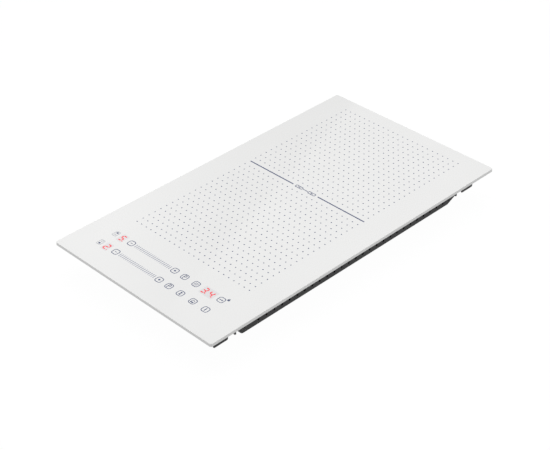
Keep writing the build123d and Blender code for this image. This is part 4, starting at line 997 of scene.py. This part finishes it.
class COOKTOP_OT_sliders(bpy.types.Operator):
    """Print the ticks of both sliders"""

    bl_idname = "cooktop.sliders"
    bl_label = "Print the Sliders"

    def execute(self, context):
        controls = context.scene.cooktop_controls
        ink = enamel_ink("slider_ink", context.scene.cooktop_finishes.tick_ink)
        front = glass_front + controls.front_row / MM
        wide = controls.tick_width / MM
        tick = rounded(wide, controls.tick_height / MM, wide * ROUND_END, steps=3)
        tree = row_tree()
        for end, y in (("front", front), ("rear", front + controls.row_pitch / MM)):
            motif = printed("tick", moved([(tick, None)], (0, 0)), ink)
            values = {
                "Count": controls.tick_count,
                "Step": (controls.tick_pitch, 0, 0),
                "Centre": (controls.tick_first, y * MM, 0),
            }
            settle(repeated(f"slider_ticks_{end}", tree, motif, ink, values))
        return {"FINISHED"}


DIGIT_MARGIN = 3.6  # how much wider the window of one digit is than its digit
TIMER_MARGIN = 8.2  # how much wider the window of two digits is than both together
WINDOW_MARGIN = 4.0  # how much higher a window is than its digits
WINDOW_CORNER = 0.6  # corner radius of a window
TIMER_DIGITS = (-6.6, 4.3)  # the timer's digits, from the middle of its window


class COOKTOP_OT_displays(bpy.types.Operator):
    """Set the display windows and their lit digits into the glass"""

    bl_idname = "cooktop.displays"
    bl_label = "Light the Displays"

    def execute(self, context):
        controls = context.scene.cooktop_controls
        finishes = context.scene.cooktop_finishes
        front = glass_front + (controls.front_row - controls.display_drop) / MM
        rear = front + controls.row_pitch / MM
        digit_x = controls.digit_place / MM
        timer_x = controls.timer_place / MM
        wide = controls.digit_width / MM
        high = controls.digit_height / MM
        thick = controls.segment_width / MM
        small = rounded(wide + DIGIT_MARGIN, high + WINDOW_MARGIN, WINDOW_CORNER)
        large = rounded(2 * wide + TIMER_MARGIN, high + WINDOW_MARGIN, WINDOW_CORNER)
        places = ((small, digit_x, front), (small, digit_x, rear), (large, timer_x, rear))
        windows = [(outline, None, (x, y)) for outline, x, y in places]
        lay_print("display_windows", windows, display_window(finishes.window), WINDOW_ABOVE)
        tens, units = (timer_x + offset for offset in TIMER_DIGITS)
        shown = (("5", digit_x, rear), ("2", digit_x, front), ("3", tens, rear), ("4", units, rear))
        lit = []
        for text, x, y in shown:
            lit += moved(seven_segments(text, wide, high, thick), (x, y))
        for _, x, y in shown:
            corner = (x + wide / 2 + POINT_GAP, y - high / 2 + thick / 2)
            lit += moved([disc(thick * POINT_SIZE)], corner)
        lay_print("display_digits", lit, lit_segment(finishes.lit))
        return {"FINISHED"}


class COOKTOP_OT_screws(bpy.types.Operator):
    """Replace the side screws with heads that have a domed face and a cross recess"""

    bl_idname = "cooktop.screws"
    bl_label = "Fit the Screws"

    def execute(self, context):
        sizes = context.scene.cooktop_screws
        zinc = slot_metal("zinc_plate", "zinc_screw")
        low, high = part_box("housing_screws")
        side_x = high.x - sizes.head_height
        end_y = high.y - sizes.head_height
        level = (low.z + high.z) / 2
        rows = (-end_y + sizes.setback, 0, end_y - sizes.setback)
        seats = [((side * side_x, y, level), (side, 0, 0)) for side in (-1, 1) for y in rows]
        seats += [((0, side * end_y, level), (0, side, 0)) for side in (-1, 1)]
        carrier = bpy.data.meshes.new("housing_screw_heads")
        carrier.from_pydata([seat for seat, _ in seats], [], [])
        outward = carrier.attributes.new("outward", "FLOAT_VECTOR", "POINT")
        for n, (_, normal) in enumerate(seats):
            outward.data[n].vector = normal
        motif = screw_motif(sizes, zinc)
        piece = repeated("housing_screw_heads", seat_tree(), motif, zinc, {"Seed": ROLL_SEED}, carrier)
        settle(piece, instead_of=["housing_screws"])
        return {"FINISHED"}


DOME_FOOT = 0.35  # where a head's dome starts, as a share of the head's height
THREAD_START = 0.3  # from the head's seat to the first ridge of the thread
THREAD_STEP = 0.25  # depth of the thread, and the step from a ridge to the next groove
THREAD_END = 3  # steps at the tip that stay plain
RECESS_REACH = 0.58  # half the length of the cross recess, as a share of the head's radius
RECESS_FLOOR = 0.45  # size of the recess's floor, as a share of its size at the top


def screw_profile(sizes):
    """Points down a screw's side, each with its distance from the axis and its height."""
    head_r = sizes.head_diameter / MM / 2
    head_h = sizes.head_height / MM
    shank_r = sizes.shank_diameter / MM / 2
    shank_l = sizes.shank_length / MM
    turns = [n * pi / 16 for n in range(7, -1, -1)]
    dome = [(head_r * cos(turn), head_h * (DOME_FOOT + (1 - DOME_FOOT) * sin(turn))) for turn in turns]
    steps = range(int(shank_l / THREAD_STEP) - THREAD_END)
    ridges = [(shank_r - THREAD_STEP * (n % 2), -THREAD_START - n * THREAD_STEP) for n in steps]
    return [(0, head_h), *dome, (head_r, 0), *ridges, (0, -shank_l)]


def recess_cutter(sizes):
    """A cross that narrows towards its floor and stands out over the head."""
    head_h = sizes.head_height / MM
    reach = sizes.head_diameter / MM / 2 * RECESS_REACH
    half = sizes.recess_width / MM / 2
    cross = [(reach, half), (half, half), (half, reach), (-half, reach), (-half, half), (-reach, half)]
    cross += [(-x, -y) for x, y in cross]
    floor = head_h - sizes.recess_depth / MM
    bm = bmesh.new()
    upper = [bm.verts.new((x, y, head_h + 1)) for x, y in cross]
    lower = [bm.verts.new((x * RECESS_FLOOR, y * RECESS_FLOOR, floor)) for x, y in cross]
    bm.faces.new(upper)
    bm.faces.new(lower[::-1])
    for n in range(len(cross)):
        m = (n + 1) % len(cross)
        bm.faces.new((lower[n], lower[m], upper[m], upper[n]))
    return bm


def screw_motif(sizes, finish):
    """One pan-head screw along Z with its seat at Z = 0 and a tapered cross recess."""
    bm = bmesh.new()
    spine = [bm.verts.new((radius, 0, z)) for radius, z in screw_profile(sizes)]
    edges = [bm.edges.new(pair) for pair in zip(spine, spine[1:])]
    bmesh.ops.spin(bm, geom=spine + edges, axis=(0, 0, 1), cent=(0, 0, 0), steps=32, angle=2 * pi)
    screw = finished("screw", bm, finish)
    cutter = finished("recess", recess_cutter(sizes), finish)
    cut = screw.modifiers.new("recess", "BOOLEAN")
    cut.operation = "DIFFERENCE"
    cut.solver = "EXACT"
    cut.object = cutter
    bake(screw)
    bpy.data.objects.remove(cutter)
    return screw


class COOKTOP_OT_housing(bpy.types.Operator):
    """Give the frame, the tray, the seal and the terminal box their finishes"""

    bl_idname = "cooktop.housing"
    bl_label = "Finish the Housing"

    def execute(self, context):
        dress({"black_steel": powder_coat(context.scene.cooktop_finishes.steel)})
        dress_plain(SHOWN_SLOTS)
        return {"FINISHED"}


class COOKTOP_OT_coils(bpy.types.Operator):
    """Give the coil units their finishes"""

    bl_idname = "cooktop.coils"
    bl_label = "Finish the Coils"

    def execute(self, context):
        dress_plain(COIL_SLOTS)
        return {"FINISHED"}


class COOKTOP_OT_electronics(bpy.types.Operator):
    """Give the boards, the blower and their metal parts their finishes"""

    bl_idname = "cooktop.electronics"
    bl_label = "Finish the Electronics"

    def execute(self, context):
        dress_plain(BOARD_SLOTS)
        dress({slot: slot_metal(f"{slot}_finish", slot) for slot in METAL_SLOTS})
        return {"FINISHED"}


HORIZON = 0.01  # half the height over which the studio's lower half turns into its walls
EDGE_BLUR = 0.001  # half the width of the edge between the two walls that reflect
# Where along the wall rise each wall changes, and its brightness before and after
LEFT_WALL = ((-0.0641, 0.016), (1.366, 0.618))
RIGHT_WALL = ((0.0799, 0.1541), (0.954, 1.098))
CLIP = (0.05, 20.0)  # nearest and farthest distance that the camera sees, in metres


class COOKTOP_OT_stage(bpy.types.Operator):
    """Lay the floor, hang the soft light and set the camera"""

    bl_idname = "cooktop.stage"
    bl_label = "Set the Stage"

    def execute(self, context):
        stage = context.scene.cooktop_stage
        context.scene.view_settings.view_transform = "Standard"
        light_world(context.scene, stage)
        lay_floor(stage)
        hang_key(stage)
        set_camera(context.scene, stage)
        return {"FINISHED"}


def seen_directly(tree):
    """One where a ray comes straight from the camera, a reflection or a see-through face."""
    rays = tree.nodes.new("ShaderNodeLightPath").outputs
    kinds = ("Is Camera Ray", "Is Glossy Ray", "Is Transmission Ray")
    return combined(tree, "MAXIMUM", *(rays[kind] for kind in kinds))


def light_world(scene, stage):
    """White studio walls that look white and light the cooktop at a plain level."""
    world = bpy.data.worlds.new("studio")
    scene.world = world
    world.use_nodes = True
    tree = world.node_tree
    direction = tree.nodes.new("ShaderNodeTexCoord").outputs["Generated"]
    height = add(tree, "ShaderNodeSeparateXYZ", {"Vector": direction}).outputs["Z"]
    light = mapped(tree, height, (-HORIZON, HORIZON), (stage.ground_strength, stage.sky_strength))
    level = mapped(tree, seen_directly(tree), (0, 1), (light, 1))
    strength = combined(tree, "MULTIPLY", level, reflected_walls(tree, stage, direction))
    feed(tree, tree.nodes["Background"], {"Color": (1, 1, 1, 1), "Strength": strength})


def reflected_walls(tree, stage, direction):
    """Two walls for reflections alone, each brighter towards one side, that meet at a straight edge."""
    places = []
    for axis in (stage.wall_edge, stage.wall_rise):
        across = add(tree, "ShaderNodeVectorMath", {0: direction, 1: axis}, operation="DOT_PRODUCT")
        places.append(across.outputs["Value"])
    edge_place, rise_place = places
    side = mapped(tree, edge_place, (-EDGE_BLUR, EDGE_BLUR), (0, 1))
    walls = mixed(tree, side, mapped(tree, rise_place, *LEFT_WALL), mapped(tree, rise_place, *RIGHT_WALL))
    rays = tree.nodes.new("ShaderNodeLightPath")
    return mixed(tree, rays.outputs["Is Glossy Ray"], 1.0, walls)


def lay_floor(stage):
    """A white floor under the tray, which keeps a faint shadow and can be looked through from below."""
    half = stage.floor_size / 2
    level = cad_box[0].z - stage.floor_gap
    mesh = bpy.data.meshes.new("studio_floor")
    corners = [(-half, -half, level), (half, -half, level), (half, half, level), (-half, half, level)]
    mesh.from_pydata(corners, [], [(0, 1, 2, 3)])
    floor = bpy.data.objects.new("studio_floor", mesh)
    bpy.context.scene.collection.objects.link(floor)
    paint = bpy.data.materials.new("floor_paint")
    paint.use_nodes = True
    tree = paint.node_tree
    matt = tree.nodes["Principled BSDF"]
    feed(tree, matt, {"Base Color": (0.8, 0.8, 0.8, 1), "Roughness": 0.9, "Specular IOR Level": 0.0})
    glow = add(tree, "ShaderNodeEmission", {"Strength": stage.floor_glow})
    share = combined(tree, "MULTIPLY", seen_directly(tree), stage.floor_share)
    look = blended(tree, share, matt.outputs["BSDF"], glow.outputs["Emission"])
    underside = tree.nodes.new("ShaderNodeNewGeometry").outputs["Backfacing"]
    rays = tree.nodes.new("ShaderNodeLightPath").outputs
    through = combined(tree, "MAXIMUM", underside, rays["Is Shadow Ray"], rays["Is Diffuse Ray"])
    clear = tree.nodes.new("ShaderNodeBsdfTransparent")
    surface = blended(tree, through, look, clear.outputs["BSDF"])
    feed(tree, tree.nodes["Material Output"], {"Surface": surface})
    mesh.materials.append(paint)


def hang_key(stage):
    """One large soft light overhead, which the polished glass doesn't mirror."""
    lamp = bpy.data.lights.new("overhead_softbox", "AREA")
    lamp.shape = "SQUARE"
    lamp.size = stage.key_size
    lamp.energy = stage.key_power
    holder = bpy.data.objects.new("overhead_softbox", lamp)
    holder.location = (0, stage.key_forward, stage.key_height)
    holder.visible_glossy = False
    bpy.context.scene.collection.objects.link(holder)


def set_camera(scene, stage):
    """The camera, at its angle round the cooktop and turned a little about its own axis."""
    lens = bpy.data.cameras.new("camera")
    lens.lens = stage.focal
    lens.clip_start, lens.clip_end = CLIP
    camera = bpy.data.objects.new("camera", lens)
    flat = cos(stage.elevation)
    back = Vector((sin(stage.azimuth) * flat, -cos(stage.azimuth) * flat, sin(stage.elevation)))
    camera.location = Vector((stage.aim_across, stage.aim_back, glass_high.z)) + back * stage.distance
    camera.rotation_mode = "QUATERNION"
    camera.rotation_quaternion = (-back).to_track_quat("-Z", "Y") @ Quaternion((0, 0, 1), stage.roll)
    scene.collection.objects.link(camera)
    scene.camera = camera


# ---------------------------------------------------------------- panel and registration


class COOKTOP_PT_panel(bpy.types.Panel):
    """Every step of the cooktop's finish"""

    bl_idname = "COOKTOP_PT_panel"
    bl_label = "Induction Cooktop"
    bl_space_type = "VIEW_3D"
    bl_region_type = "UI"
    bl_category = "Cooktop"

    def draw(self, context):
        for step in OPERATORS:
            self.layout.operator(step.bl_idname)
        for name in SETTINGS:
            group = getattr(context.scene, name)
            box = self.layout.box()
            for key in group.bl_rna.properties.keys():
                if key not in {"rna_type", "name"}:
                    box.prop(group, key)


SETTINGS = {
    "cooktop_zones": COOKTOP_PG_zones,
    "cooktop_controls": COOKTOP_PG_controls,
    "cooktop_screws": COOKTOP_PG_screws,
    "cooktop_finishes": COOKTOP_PG_finishes,
    "cooktop_stage": COOKTOP_PG_stage,
}
OPERATORS = (
    COOKTOP_OT_glass,
    COOKTOP_OT_zones,
    COOKTOP_OT_buttons,
    COOKTOP_OT_sliders,
    COOKTOP_OT_displays,
    COOKTOP_OT_housing,
    COOKTOP_OT_coils,
    COOKTOP_OT_electronics,
    COOKTOP_OT_screws,
    COOKTOP_OT_stage,
)


def register():
    for group in SETTINGS.values():
        bpy.utils.register_class(group)
    for name, group in SETTINGS.items():
        setattr(bpy.types.Scene, name, bpy.props.PointerProperty(type=group))
    for step in (*OPERATORS, COOKTOP_PT_panel):
        bpy.utils.register_class(step)


def unregister():
    for step in (COOKTOP_PT_panel, *reversed(OPERATORS)):
        bpy.utils.unregister_class(step)
    for name, group in SETTINGS.items():
        delattr(bpy.types.Scene, name)
        bpy.utils.unregister_class(group)


def main():
    register()
    for step in OPERATORS:
        module, name = step.bl_idname.split(".")
        getattr(getattr(bpy.ops, module), name)()


if __name__ == "__main__":
    main()
